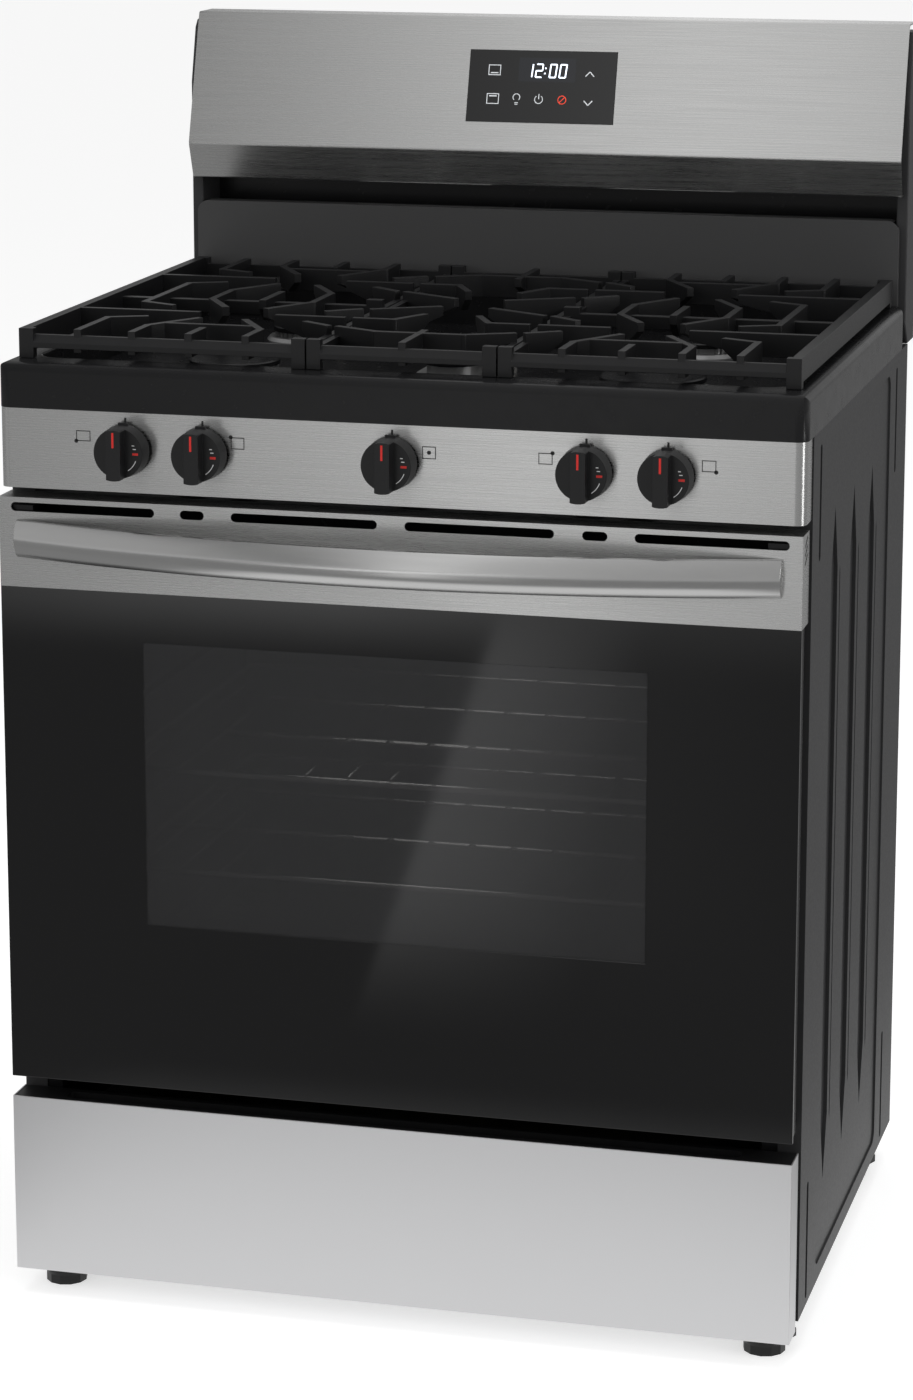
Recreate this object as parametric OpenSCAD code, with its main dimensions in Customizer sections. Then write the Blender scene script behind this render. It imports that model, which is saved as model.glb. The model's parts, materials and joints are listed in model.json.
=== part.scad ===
// Freestanding gas range: a steel cabinet on four levelling feet, with an oven, a storage
// drawer, a five-burner cooktop under three lift-off grates and a console at the back.
// Modules are drawn with Y = 0 at the front edge of the side panels and the floor at Z = 0.
// The in_frame() module then moves everything so that the origin is under the middle.

/* [Cabinet] */
// Width over the side panels
body_w = 759; // [700:1:820]
// Depth of the side panels
cab_d = 565; // [540:1:640]
// Floor to the lower edge of the side panels
panel_lift = 35; // [34:1:48]
// Sheet steel thickness
sheet = 1.2; // [0.9:0.1:1.6]
// Height of the base frame
base_h = 26; // [22:1:28]

/* [Front] */
// How far the door and drawer stand in front of the side panels
door_proud = 40; // [38:1:46]
// How far the control panel and the cooktop stand in front of the side panels
panel_proud = 34; // [28:1:36]
// Floor to the lower edge of the drawer front
drawer_lift = 27; // [26:1:34]
// Height of the drawer front
drawer_h = 175; // [150:1:185]
// Gap between the drawer front and the door
door_gap = 20; // [19:1:26]
// Height of the oven door with its top trim
door_h = 565; // [520:1:620]
// Height of the steel trim along the top of the door
trim_h = 85; // [75:1:95]
// Gap between the door and the control panel
panel_gap = 8; // [6:1:12]
// Height of the control panel
panel_h = 75; // [68:1:90]

/* [Door] */
// Thickness of the outer glass
glass_t = 4; // [3:0.5:6]
// Width of the oven window
window_w = 478; // [380:1:520]
// Window lower edge above the lower edge of the door
window_z0 = 161; // [140:1:180]
// Height of the oven window
window_h = 272; // [200:1:275]
// Height of the handle's front face
handle_h = 35; // [28:1:42]
// Thickness of the handle bar
handle_t = 12; // [10:1:15]
// Distance from the door to the front of the handle, at its middle
handle_out = 62; // [55:1:70]
// Length of the handle
handle_l = 720; // [640:1:740]

/* [Oven] */
// Width of the oven cavity
cavity_w = 610; // [560:1:620]
// Depth of the oven cavity
cavity_d = 466; // [420:1:470]
// Cavity floor above the lower edge of the door
cavity_z0 = 16; // [14:1:24]
// Height of the cavity
cavity_h = 484; // [440:1:490]
// Distance between rack levels
rack_pitch = 49.5; // [45:0.5:52]
// Distance between the wires of a rack
wire_pitch = 41.4; // [38:0.1:46]

/* [Controls] */
// Distance from the middle to the inner outer-pair knob
knob_x1 = 180; // [150:1:195]
// Distance from the middle to the outermost knob
knob_x2 = 254.5; // [240:0.5:275]
// Diameter of a knob's skirt
knob_d = 49; // [42:1:54]
// Depth of a knob from its back to the front of its grip
knob_depth = 32; // [29:1:34]
// Diameter of a valve stem
stem_d = 6; // [5:0.5:8]
// Width of the display glass
display_w = 155; // [130:1:180]
// Height of the display glass
display_h = 75; // [66:1:84]

/* [Cooktop] */
// Height of the cooktop's front band
cooktop_h = 42; // [36:1:50]
// Depth of the well below the rim
well_depth = 32; // [24:1:34]
// Grate top above the cooktop rim
grate_h = 28; // [24:1:34]
// Thickness of a grate finger
finger_t = 7; // [6:0.5:9]
// Distance from the middle to the side burners
burner_x = 204; // [195:1:210]
// Distance from the middle crossbar to a side burner
burner_dy = 122; // [116:1:126]

/* [Backguard] */
// Height of the console's top above the cooktop rim
guard_h = 282; // [260:1:300]
// How far the backguard stands behind the side panels
guard_back = 40; // [30:1:50]

/* [Fits] */
// Radial clearance of a turning shaft
shaft_fit = 0.05; // [0.02:0.01:0.09]
// Gap between parts that rest on each other but move
rest_gap = 0.3; // [0.2:0.1:0.6]
// Gap at the sides of a part that slides
slide_gap = 5; // [4:0.5:7]

/* [Hidden] */
$fn = 48;

// Heights, stacked from the floor
hw = body_w / 2;
drawer_z1 = drawer_lift + drawer_h;
door_z0 = drawer_z1 + door_gap;
door_z1 = door_z0 + door_h;
trim_z0 = door_z1 - trim_h;
panel_z0 = door_z1 + panel_gap;
cab_z1 = panel_z0 + panel_h;
rim_z = cab_z1 + cooktop_h;
well_z = rim_z - well_depth;
grate_z = rim_z + grate_h;
guard_z = rim_z + guard_h;
base_z0 = panel_lift + sheet;
base_z1 = base_z0 + base_h;

// Depths
door_front = -door_proud;
door_back = -6;
panel_front = -panel_proud;
guard_rear = cab_d + guard_back;
handle_front = door_front - handle_out;
centre_y = (handle_front + guard_rear) / 2;
frame_y0 = sheet;
frame_y1 = sheet + 12;

// Widths of what stands inside the side panels
inner_hw = hw - sheet;
door_hw = hw - 1.5;
panel_hw = hw - 1;

// Oven cavity
cav_hw = cavity_w / 2;
cav_y1 = frame_y1 + cavity_d;
cav_z0 = door_z0 + cavity_z0;
cav_z1 = cav_z0 + cavity_h;
gasket_w = 10;
rack_r = 3.2;
wire_r = 1.6;
rack_hw = cav_hw - slide_gap;
ledge_out = slide_gap + 4;
ledge_t = 5;
ledge_z0 = cav_z0 + 76;
rack_levels = 6;
rack_y0 = frame_y1 + 17;
rack_y1 = cav_y1 - 9;

// Door hinges
hinge_y = -16;
hinge_z = door_z0 + 8;
hinge_x = hw - 19.5;
hinge_arm_t = 5;
hinge_pin_r = 4;
hinge_r = 7;
cheek_t = 6;
cheek_gap = 0.5;
arm_slot = 1;

// Door build-up
rail_w = 30;
rail_t = 1.5;
liner_y0 = -13;
window_lap = 11;
pane_t = 4;
slot_h = 8.4;
slot_z = door_z1 - 9;

// Controls
knob_z = (panel_z0 + cab_z1) / 2 + 3;
knob_x = [-knob_x2, -knob_x1, 0, knob_x1, knob_x2];
knob_gap = 4;
skirt_depth = 18;
grip_w = 14;
stem_in_knob = 14;
valve_y0 = 6;
valve_d = 28;
valve_w = 26;
manifold_y = 50;
manifold_r = 9;

// Cooktop
rim_front = 40;
rim_side = 24;
rim_rear = 23;
cook_y1 = cab_d - 27;
cook_corner = 12;
cook_t = 1.5;
mid_y = (panel_front + rim_front + cook_y1 - rim_rear) / 2 + 0.5;
// Each side burner: [x, y, cap radius, base radius, cap top above the well]
burners = [
    [-burner_x, mid_y - burner_dy, 43.5, 49, 17],
    [burner_x, mid_y - burner_dy, 50, 62, 17],
    [-burner_x, mid_y + burner_dy, 35, 42, 14],
    [burner_x, mid_y + burner_dy, 30, 38, 14]
];
cap_t = 5;
oval_r = 27;
oval_half = 78;

// Grates
seam_x = 90;
seam_gap = 1.5;
grate_hw = hw - 11.5;
grate_y0 = panel_front + 29;
grate_y1 = 2 * mid_y - grate_y0;
bar_drop = 6;
bar_w = 10;
bar_h = 12;
finger_h = 22;
tip_h = 9;
knee_r = finger_t / 2 + 0.4;

// Backguard
slope_y0 = cab_d - 45;
slope_z0 = rim_z + 148;
slope_y1 = cab_d - 4;
lip_z = rim_z + 111;
lip_y = cab_d - 31;
low_top = rim_z + 86;
low_hw = hw - 7.5;
console_hw = hw - 4.5;
end_cap_w = 11.5;
slope_tilt = atan2(slope_y1 - slope_y0, guard_z - slope_z0);
display_z = (slope_z0 + guard_z) / 2 - 2;
display_y = slope_y0 + (display_z - slope_z0) * tan(slope_tilt);

// Drawer
box_hw = hw - 52;
box_z0 = 52;
box_z1 = drawer_z1 - 32;
box_y1 = cab_d - 95;
box_t = 1;
cap_h = 24;
groove_hw = hw - 51.5;

// Feet
foot_x = hw - 33.5;
foot_y = [12, cab_d - 75];
foot_stem_r = 5;
foot_flange_r = 30;
foot_base_r = 20;
leg_block = 14;

// ---------------------------------------------------------------- helpers

module in_frame() translate([0, -centre_y, 0]) children();

// A box from its lowest corner to its highest
module block(a, b) translate(a) cube(b - a);

// A 2D outline in Y and Z, extruded from x0 to x1
module slab_x(x0, x1) translate([x0, 0, 0]) rotate([90, 0, 90]) linear_extrude(x1 - x0) children();

// A 2D outline in X and Z, extruded from y0 to y1
module slab_y(y0, y1) translate([0, y1, 0]) rotate([90, 0, 0]) linear_extrude(y1 - y0) children();

// A 2D outline in X and Y, extruded from z0 to z1
module slab_z(z0, z1) translate([0, 0, z0]) linear_extrude(z1 - z0) children();

// A copy on each side of the middle
module both_sides() {
    children();
    mirror([1, 0, 0]) children();
}

// A rectangle from one corner to the other
module rect(a, b) translate(a) square(b - a);

// A slot with round ends along the first axis
module slot2(x0, x1, y, h) {
    r = h / 2;
    rect([x0 + r, y - r], [x1 - r, y + r]);
    for (x = [x0 + r, x1 - r]) translate([x, y]) circle(r);
}

// A rectangle with round corners
module round_rect(a, b, r) {
    rect([a[0] + r, a[1]], [b[0] - r, b[1]]);
    rect([a[0], a[1] + r], [b[0], b[1] - r]);
    for (x = [a[0] + r, b[0] - r], y = [a[1] + r, b[1] - r]) translate([x, y]) circle(r);
}

// A round bar between two points
module rod(p, q, r) {
    d = q - p;
    translate(p)
        rotate([0, acos(d[2] / norm(d)), atan2(d[1], d[0])])
            cylinder(r = r, h = norm(d));
}

// ---------------------------------------------------------------- cabinet

module base_frame() {
    rail_x0 = inner_hw - 44;
    rail_x1 = inner_hw - rib_depth - 1.3;
    color("dimgray") in_frame() {
        difference() {
            union() {
                both_sides() {
                    difference() {
                        block([rail_x0, sheet, base_z0], [rail_x1, cab_d - 2 * sheet, base_z1]);
                        block([rail_x0 + 2, 0, base_z0 + 2], [rail_x1 - 2, cab_d, base_z1 - 2]);
                    }
                    for (y = foot_y) let (y0 = max(y - leg_block, sheet))
                        block([foot_x - leg_block / 2 - 4, y0, base_z0],
                              [foot_x + leg_block / 2 + 4, y + leg_block, base_z1 - 4]);
                }
                block([-rail_x0, sheet, base_z0], [rail_x0, 30, base_z0 + 12]);
                block([-rail_x0, cab_d - 40, base_z0], [rail_x0, cab_d - 2 * sheet, base_z1]);
            }
            both_sides() for (y = foot_y)
                translate([foot_x, y, base_z0 - 1])
                    cylinder(r = foot_stem_r + shaft_fit, h = base_h + 2);
            block([-rail_x0 + 2, cab_d - 38, base_z0 + 2],
                  [rail_x0 - 2, cab_d - 2 * sheet - 2, base_z1 + 1]);
        }
    }
}

// Pressed shape of a side panel: pointed ribs with a crease behind each, on a sunk field
rib_pitch = 110;
rib_w = 36;
rib_depth = 5.5;
field_depth = 2;
crease_depth = 2;
crease_w = 4;
crease_back = 32;
groove_w = 9;

module rib_outline(y, w, z0, z1, point) polygon([
    [y, z0], [y + w / 2, z0 + point], [y + w / 2, z1 - point],
    [y, z1], [y - w / 2, z1 - point], [y - w / 2, z0 + point]
]);

module rib_set(grow) for (i = [0:2]) {
    y = cab_d / 2 - 34 + (i - 1) * rib_pitch;
    rib_outline(y, rib_w + 2 * grow, 125 - grow, cab_z1 - 89 + grow, 60);
}

module crease_set(grow) for (i = [0:2]) {
    y = cab_d / 2 - 34 + (i - 1) * rib_pitch + crease_back;
    rib_outline(y, crease_w + 2 * grow, 174 - grow, cab_z1 - 150 + grow, 8);
}

module groove_set(grow) for (y = [41, cab_d - 70], z = [[38, 157], [cab_z1 - 125, cab_z1 - 14]])
    round_rect([y - groove_w / 2 - grow, z[0] + 4 - grow], [y + groove_w / 2 + grow, z[1] + grow],
               groove_w / 2 - 0.5 + grow);

module field_outline(grow)
    round_rect([91 - grow, 52 - grow], [cab_d - 110 + grow, cab_z1 - 15 + grow], 14);

module side_panel() {
    difference() {
        union() {
            block([hw - sheet, 0, panel_lift], [hw, cab_d, cab_z1]);
            block([hw - 22, 0, panel_lift], [hw, sheet, cab_z1]);
            block([hw - 22, cab_d - sheet, panel_lift], [hw, cab_d, cab_z1]);
            block([hw - 18, 0, panel_lift], [hw, cab_d, panel_lift + sheet]);
            slab_x(hw - sheet - field_depth, hw - 0.5) field_outline(1);
            slab_x(hw - sheet - rib_depth, hw - 0.5) rib_set(1);
            slab_x(hw - sheet - field_depth - crease_depth, hw - 0.5) crease_set(1);
            slab_x(hw - sheet - rib_depth, hw - 0.5) groove_set(1);
        }
        slab_x(hw - field_depth, hw + 1) field_outline(0);
        slab_x(hw - rib_depth, hw + 1) rib_set(0);
        slab_x(hw - field_depth - crease_depth, hw + 1) crease_set(0);
        slab_x(hw - rib_depth, hw + 1) groove_set(0);
        // Notch for the hinge arm
        block([hinge_x - hinge_arm_t / 2 - arm_slot, -1, hinge_z - hinge_r - 1],
              [hinge_x + hinge_arm_t / 2 + arm_slot, 5, hinge_z + hinge_r + 1]);
    }
}

module side_panel_right() color("dimgray") in_frame() side_panel();

module side_panel_left() color("dimgray") in_frame() mirror([1, 0, 0]) side_panel();

module rear_panel() {
    y1 = cab_d - sheet;
    y0 = y1 - sheet;
    bead_z = [for (i = [0:2]) 300 + i * 190];
    color("silver") in_frame() difference() {
        union() {
            block([-inner_hw, y0, base_z1], [inner_hw, y1, cab_z1]);
            slab_y(y0, y1 + 2) for (z = bead_z) slot2(-hw + 90, hw - 90, z, 26);
        }
        slab_y(y0 - 1, y1 + 0.8) for (z = bead_z) slot2(-hw + 92, hw - 92, z, 22);
        // Cord gland and the opening in front of the gas inlet
        translate([250, y0 - 1, 150]) rotate([-90, 0, 0]) cylinder(r = 9, h = 10);
        slab_y(y0 - 1, y1 + 1) round_rect([-230, 80], [-130, 180], 12);
    }
    color("dimgray") in_frame() difference() {
        translate([250, y0 - 6, 150]) rotate([-90, 0, 0]) {
            cylinder(r = 9, h = 12);
            translate([0, 0, 7.2]) cylinder(r = 13, h = 4);
        }
        translate([250, y0 - 7, 150]) rotate([-90, 0, 0]) cylinder(r = 4.5, h = 20);
    }
}

module front_frame() {
    color("black") in_frame() difference() {
        block([-inner_hw, frame_y0, base_z1], [inner_hw, frame_y1, cab_z1]);
        // Drawer, oven and burner-box openings
        block([-box_hw - 15, 0, base_z1 - 1], [box_hw + 15, 20, drawer_z1 + 6]);
        block([-cav_hw, 0, cav_z0], [cav_hw, 20, cav_z1]);
        block([-hw + 30, 0, door_z1 + 10], [hw - 30, 20, cab_z1 - 6]);
        // Hinge arms
        for (s = [-1, 1]) let (x = s * hinge_x)
            block([x - hinge_arm_t / 2 - arm_slot, 0, hinge_z - hinge_r - 1],
                  [x + hinge_arm_t / 2 + arm_slot, 20, hinge_z + hinge_r + 1]);
    }
}

// ---------------------------------------------------------------- oven

module oven_liner() {
    t = sheet;
    color("#3a3d42") in_frame() {
        difference() {
            block([-cav_hw - t, frame_y1, cav_z0 - t], [cav_hw + t, cav_y1 + t, cav_z1 + t]);
            block([-cav_hw, 0, cav_z0], [cav_hw, cav_y1, cav_z1]);
            // Flue outlet at the back of the roof
            block([-60, cav_y1 - 50, cav_z1 - 1], [60, cav_y1 - 15, cav_z1 + t + 1]);
        }
        // Ledges that carry the racks
        both_sides() for (i = [0:rack_levels - 1]) let (z = ledge_z0 + i * rack_pitch)
            block([cav_hw - ledge_out, frame_y1 + 8, z - ledge_t], [cav_hw + t / 2, cav_y1 - 4, z]);
    }
}

module oven_floor() {
    z1 = cav_z0 + 46;
    x1 = cav_hw - slide_gap;
    y0 = frame_y1 + 4;
    y1 = cav_y1 - 6;
    color("#34373c") in_frame() difference() {
        block([-x1, y0, cav_z0], [x1, y1, z1]);
        block([-x1 + sheet, y0 - 1, cav_z0 - 1], [x1 - sheet, y1 + 1, z1 - sheet]);
        for (s = [-1, 1], i = [0:7]) translate([s * (x1 - 30), y0 + 40 + i * 50, 0])
            slab_z(z1 - 3, z1 + 1) slot2(-14, 14, 0, 8);
    }
}

module oven_gasket() {
    color("#2b2b2b") in_frame() slab_y(door_back + 0.8, frame_y0) difference() {
        round_rect([-cav_hw - gasket_w, cav_z0 - 4], [cav_hw + gasket_w, cav_z1 + gasket_w], 12);
        round_rect([-cav_hw - 2, cav_z0], [cav_hw + 2, cav_z1 + 2], 8);
    }
}

module bake_burner() {
    z = cav_z0 + 22;
    y0 = frame_y1 + 60;
    color("#6b6b6b") in_frame() {
        for (x = [-150, 150]) rod([x, y0, z], [x, cav_y1 - 60, z], 10);
        rod([-150, cav_y1 - 60, z], [150, cav_y1 - 60, z], 10);
        rod([0, cav_y1 - 60, z], [0, cav_y1, z], 10);
        for (x = [-150, 150], y = [y0, cav_y1 - 60]) translate([x, y, z]) sphere(10);
    }
}

module broil_burner() {
    z = cav_z1 - 22;
    y0 = frame_y1 + 70;
    y1 = cav_y1 - 40;
    color("#6b6b6b") in_frame() {
        rod([0, y0, z], [0, cav_y1, z], 11);
        translate([0, y0, z]) sphere(11);
        // Spreader wings beside the tube
        both_sides() slab_y(y0, y1 - 60)
            polygon([[8, z - 2], [110, z + 10], [110, z + 12], [8, z + 1]]);
        // Hanger strap up to the cavity roof
        for (y = [y0 + 20, y1 - 70]) block([-4, y, z], [4, y + 12, cav_z1]);
    }
}

// Glow-bar igniters beside the two oven burners, on brackets from the rear wall
module oven_igniters() {
    color("gainsboro") in_frame() for (p = [[30, cav_z0 + 34.5], [30, cav_z1 - 36]]) {
        block([p[0], cav_y1 - 130, p[1]], [p[0] + 12, cav_y1 - 60, p[1] + 6]);
        block([p[0] - 2, cav_y1 - 62, p[1] - 2], [p[0] + 14, cav_y1, p[1] + 8]);
    }
}

module oven_sensor() {
    color("lightgray") in_frame() {
        rod([180, cav_y1 - 90, cav_z1 - 60], [180, cav_y1, cav_z1 - 60], 3);
        translate([180, cav_y1 - 90, cav_z1 - 60]) sphere(3);
        block([166, cav_y1 - 2, cav_z1 - 66], [194, cav_y1, cav_z1 - 54]);
    }
}

module oven_light() {
    color("lightyellow") in_frame() translate([-220, cav_y1, cav_z1 - 80]) rotate([90, 0, 0]) {
        cylinder(r = 22, h = 5);
        cylinder(r = 13, h = 22);
        translate([0, 0, 22]) sphere(18);
    }
}

module insulation() {
    g = sheet + 0.4;
    t = 26;
    color("khaki") in_frame() difference() {
        block([-cav_hw - t, frame_y1 + 1, cav_z0 - g - 14], [cav_hw + t, cav_y1 + t, cav_z1 + t - 8]);
        block([-cav_hw - g, 0, cav_z0 - g], [cav_hw + g, cav_y1 + g, cav_z1 + g]);
        block([-62, cav_y1 - 60, cav_z1], [62, cav_y1 + t + 5, cav_z1 + 2 * t]);
        // Ways out through the rear for the burners, the lamp and the sensor
        for (z = [cav_z0 + 22, cav_z1 - 22]) translate([0, cav_y1 - 5, z])
            rotate([-90, 0, 0]) cylinder(r = 16, h = 60);
    }
}

// Arms that stand out of the cabinet and carry the door on its pins
module hinge_arms() {
    color("silver") in_frame() both_sides() {
        difference() {
            slab_x(hinge_x - hinge_arm_t / 2, hinge_x + hinge_arm_t / 2) {
                translate([hinge_y, hinge_z]) circle(hinge_r);
                rect([hinge_y, hinge_z - hinge_r], [frame_y1 + 60, hinge_z + hinge_r]);
            }
            rod([hinge_x - 20, hinge_y, hinge_z], [hinge_x + 20, hinge_y, hinge_z],
                hinge_pin_r + shaft_fit);
        }
        // Receiver box welded behind the front frame
        difference() {
            block([hinge_x - 9, frame_y1, hinge_z - 16], [hinge_x + 9, frame_y1 + 70, hinge_z + 24]);
            block([hinge_x - 7.5, 0, hinge_z - 14.5], [hinge_x + 7.5, frame_y1 + 58, hinge_z + 22.5]);
        }
    }
}

// ---------------------------------------------------------------- controls and gas

module control_panel() {
    r = 10;
    color("silver") in_frame() difference() {
        slab_z(panel_z0, cab_z1) difference() {
            round_rect([-panel_hw, panel_front], [panel_hw, 20], r);
            round_rect([-panel_hw + sheet, panel_front + sheet], [panel_hw - sheet, 21], r - sheet);
            rect([-hw, -0.5], [hw, 30]);
        }
        for (x = knob_x) translate([x, panel_front - 5, knob_z])
            rotate([-90, 0, 0]) cylinder(r = stem_d / 2 + 3, h = 10);
    }
    // Top and bottom flanges
    color("silver") in_frame() for (z = [panel_z0, cab_z1 - sheet])
        block([-panel_hw + 12, panel_front + sheet, z], [panel_hw - 12, -2, z + sheet]);
}

module manifold_pipe() {
    x1 = knob_x2 + 30;
    color("slategray") in_frame() difference() {
        union() {
            rod([-x1, manifold_y, knob_z], [x1, manifold_y, knob_z], manifold_r);
            for (x = knob_x) rod([x, valve_y0 + valve_d, knob_z], [x, manifold_y, knob_z], 7);
        }
        rod([-x1 + 4, manifold_y, knob_z], [x1 - 4, manifold_y, knob_z], manifold_r - 2.5);
    }
}

module valve_bodies() {
    color("#b59a52") in_frame() for (x = knob_x) difference() {
        union() {
            block([x - valve_w / 2, valve_y0, knob_z - 13],
                  [x + valve_w / 2, valve_y0 + valve_d, knob_z + 13]);
            rod([x, valve_y0 - 8, knob_z], [x, valve_y0, knob_z], stem_d / 2 + 4);
        }
        rod([x, valve_y0 - 9, knob_z], [x, valve_y0 + 16, knob_z], stem_d / 2 + shaft_fit);
    }
}

// Aluminium tubes from each valve to its burner, inside the burner box
module burner_tubes() {
    r = 4;
    top = knob_z - 13;
    low = knob_z - 30;
    y0 = valve_y0 + valve_d - 8;
    ends = [burners[0], burners[2], [0, mid_y], burners[3], burners[1]];
    color("gainsboro") in_frame() for (i = [0:4]) {
        x = knob_x[i];
        to = ends[i];
        rod([x, y0, low], [x, y0, top], r);
        rod([x, y0, low], [to[0], to[1], low], r);
        for (p = [[x, y0, low], [to[0], to[1], low]]) translate(p) sphere(r + 0.6);
        rod([to[0], to[1], low], [to[0], to[1], well_z - 26], r);
    }
}

module gas_regulator() {
    x = -180;
    z = 130;
    y1 = cab_d - 8;
    color("#8f9397") in_frame() {
        difference() {
            union() {
                block([x - 24, y1 - 52, z - 22], [x + 24, y1 - 12, z + 22]);
                translate([x, y1 - 32, z + 22]) cylinder(r = 20, h = 14);
                rod([x, y1 - 12, z], [x, y1, z], 14);
            }
            rod([x, y1 - 22, z], [x, y1 + 1, z], 9.5);
        }
        // Bracket down to the rear rail of the base
        block([x - 18, y1 - 48, base_z1], [x + 18, y1 - 45, z - 22]);
        block([x - 18, y1 - 48, base_z1], [x + 18, y1 - 22, base_z1 + 2]);
    }
}

// ---------------------------------------------------------------- cooktop

module cooktop_body(inset) {
    z1 = rim_z - inset;
    e = 9;
    intersection() {
        slab_z(cab_z1 - 1, z1)
            round_rect([-hw + inset, panel_front + inset], [hw - inset, cook_y1 - inset], cook_corner);
        slab_x(-hw, hw) {
            rect([panel_front + inset + e, cab_z1 - 2], [cook_y1, z1]);
            rect([panel_front + inset, cab_z1 - 2], [cook_y1, z1 - e]);
            translate([panel_front + inset + e, z1 - e]) circle(e);
        }
        slab_y(panel_front, cook_y1) {
            rect([-hw + inset + e, cab_z1 - 2], [hw - inset - e, z1]);
            rect([-hw + inset, cab_z1 - 2], [hw - inset, z1 - e]);
            for (s = [-1, 1]) translate([s * (hw - inset - e), z1 - e]) circle(e);
        }
    }
}

module well_outline(grow)
    round_rect([-hw + rim_side - grow, panel_front + rim_front - grow],
               [hw - rim_side + grow, cook_y1 - rim_rear + grow], 24 + grow);

module cooktop() {
    color("#26272a") in_frame() difference() {
        union() {
            difference() {
                cooktop_body(0);
                cooktop_body(cook_t);
            }
            slab_z(well_z - cook_t, rim_z - cook_t / 2) well_outline(cook_t);
        }
        block([-hw - 1, panel_front - 1, cab_z1 - 2], [hw + 1, cook_y1 + 1, cab_z1]);
        slab_z(well_z, rim_z + 1) well_outline(0);
        for (b = burners) translate([b[0], b[1], well_z - 5]) cylinder(r = 22, h = 10);
        translate([0, mid_y, well_z - 5]) cylinder(r = 18, h = 10);
    }
}

// Outline of the long burner in the middle
module oval(r) {
    for (s = [-1, 1]) translate([0, mid_y + s * oval_half]) circle(r);
    rect([-r, mid_y - oval_half], [r, mid_y + oval_half]);
}

module burner_bases() {
    color("silver") in_frame() {
        for (b = burners) translate([b[0], b[1], 0]) {
            head_z = well_z + b[4] - cap_t;
            translate([0, 0, well_z]) cylinder(r1 = b[3], r2 = b[3] - 3, h = 3.5);
            translate([0, 0, well_z + 3]) cylinder(r = b[2] - 3, h = head_z - well_z - 3);
            translate([0, 0, well_z - 26]) cylinder(r = 20, h = 27);
        }
        slab_z(well_z, well_z + 3.5) oval(oval_r + 8);
        slab_z(well_z + 3, well_z + 13) oval(oval_r - 2);
        translate([0, mid_y, well_z - 26]) cylinder(r = 16, h = 27);
    }
}

module burner_caps() {
    color("#1a1a1b") in_frame() {
        for (b = burners) translate([b[0], b[1], well_z + b[4] - cap_t]) {
            cylinder(r = b[2], h = cap_t - 1);
            translate([0, 0, cap_t - 1]) cylinder(r1 = b[2], r2 = b[2] - 2, h = 1);
        }
        slab_z(well_z + 13, well_z + 17) oval(oval_r);
        slab_z(well_z + 17, well_z + 18) oval(oval_r - 2);
    }
}

// Spark electrodes beside the burner heads
module burner_igniters() {
    color("white") in_frame() {
        for (b = burners) {
            s = sign(b[0]);
            p = [b[0] - s * (b[3] + 5) * cos(30), b[1] - (b[3] + 5) * sin(30), well_z];
            translate(p) cylinder(r = 3.5, h = 8);
            translate(p + [0, 0, 8]) cylinder(r = 1.2, h = 4);
        }
        translate([oval_r + 13, mid_y, well_z]) cylinder(r = 3.5, h = 8);
        translate([oval_r + 13, mid_y, well_z + 8]) cylinder(r = 1.2, h = 4);
    }
}

// ---------------------------------------------------------------- grates

// One straight run of a finger: a deep blade standing on edge
module run(p, q) let (d = q - p, n = [-d[1], d[0]] * finger_t / 2 / norm(d))
    slab_z(grate_z - finger_h, grate_z) polygon([p + n, p - n, q - n, q + n]);

// The last run, whose lower edge rises towards the free end
module tip(p, q) let (d = q - p, l = norm(d), k = (finger_h - tip_h) / (0.45 * l)) difference() {
    run(p, q);
    translate([p[0], p[1], grate_z - finger_h]) rotate(atan2(d[1], d[0]))
        slab_y(-finger_t, finger_t)
            polygon([[0.55 * l - 5, -5 * k], [l + 5, (0.45 * l + 5) * k], [l + 5, -5 * k]]);
}

module knee(p) translate([p[0], p[1], grate_z - finger_h]) cylinder(r = knee_r, h = finger_h);

// A finger through several points, tapered at its free end
module finger(pts) {
    n = len(pts) - 1;
    if (n > 1) for (i = [0:n - 2]) {
        run(pts[i], pts[i + 1]);
        knee(pts[i + 1]);
    }
    tip(pts[n - 1], pts[n]);
}

// A full-depth finger between two fixed ends
module web(pts) {
    n = len(pts) - 1;
    for (i = [0:n - 1]) {
        run(pts[i], pts[i + 1]);
        if (i > 0) knee(pts[i]);
    }
}

// The rear half of the left grate, with the burner at its middle
module side_grate_half() {
    x = -burner_x;
    y = mid_y + burner_dy;
    y1 = grate_y1 - 4;
    x0 = -grate_hw + bar_w / 2;
    xs = -seam_x - seam_gap / 2 - 3;
    finger([[x0, y], [x - 34, y]]);
    finger([[xs, y], [x + 41, y]]);
    for (s = [-1, 1]) {
        finger([[x + s * 55, y1], [x + s * 55, y + 93], [x + s * 22, y + 36]]);
        finger([[x + s * 51, mid_y], [x + s * 51, y - 90], [x + s * 20, y - 36]]);
    }
    web([[x - 45, y + 76], [x + 45, y + 76]]);
    finger([[x, y1], [x, y1 - 45]]);
    finger([[x, mid_y], [x, mid_y + 33]]);
    finger([[x - 108, y1], [x - 108, y + 54], [x - 73, y + 38]]);
    finger([[x - 108, mid_y], [x - 108, y - 54], [x - 73, y - 37]]);
    finger([[xs, y + 55], [x + 80, y + 33]]);
    finger([[xs, y - 59], [x + 80, y - 34]]);
}

// The rear left quarter of the middle grate
module centre_grate_quarter() {
    y = mid_y + burner_dy;
    xs = -seam_x + seam_gap / 2 + 3;
    finger([[xs, y], [-46, y], [-26, y - 42]]);
    web([[xs, y + 55], [-42, y + 78], [0, y + 78]]);
    finger([[xs, y - 59], [-24, y - 95]]);
}

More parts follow.
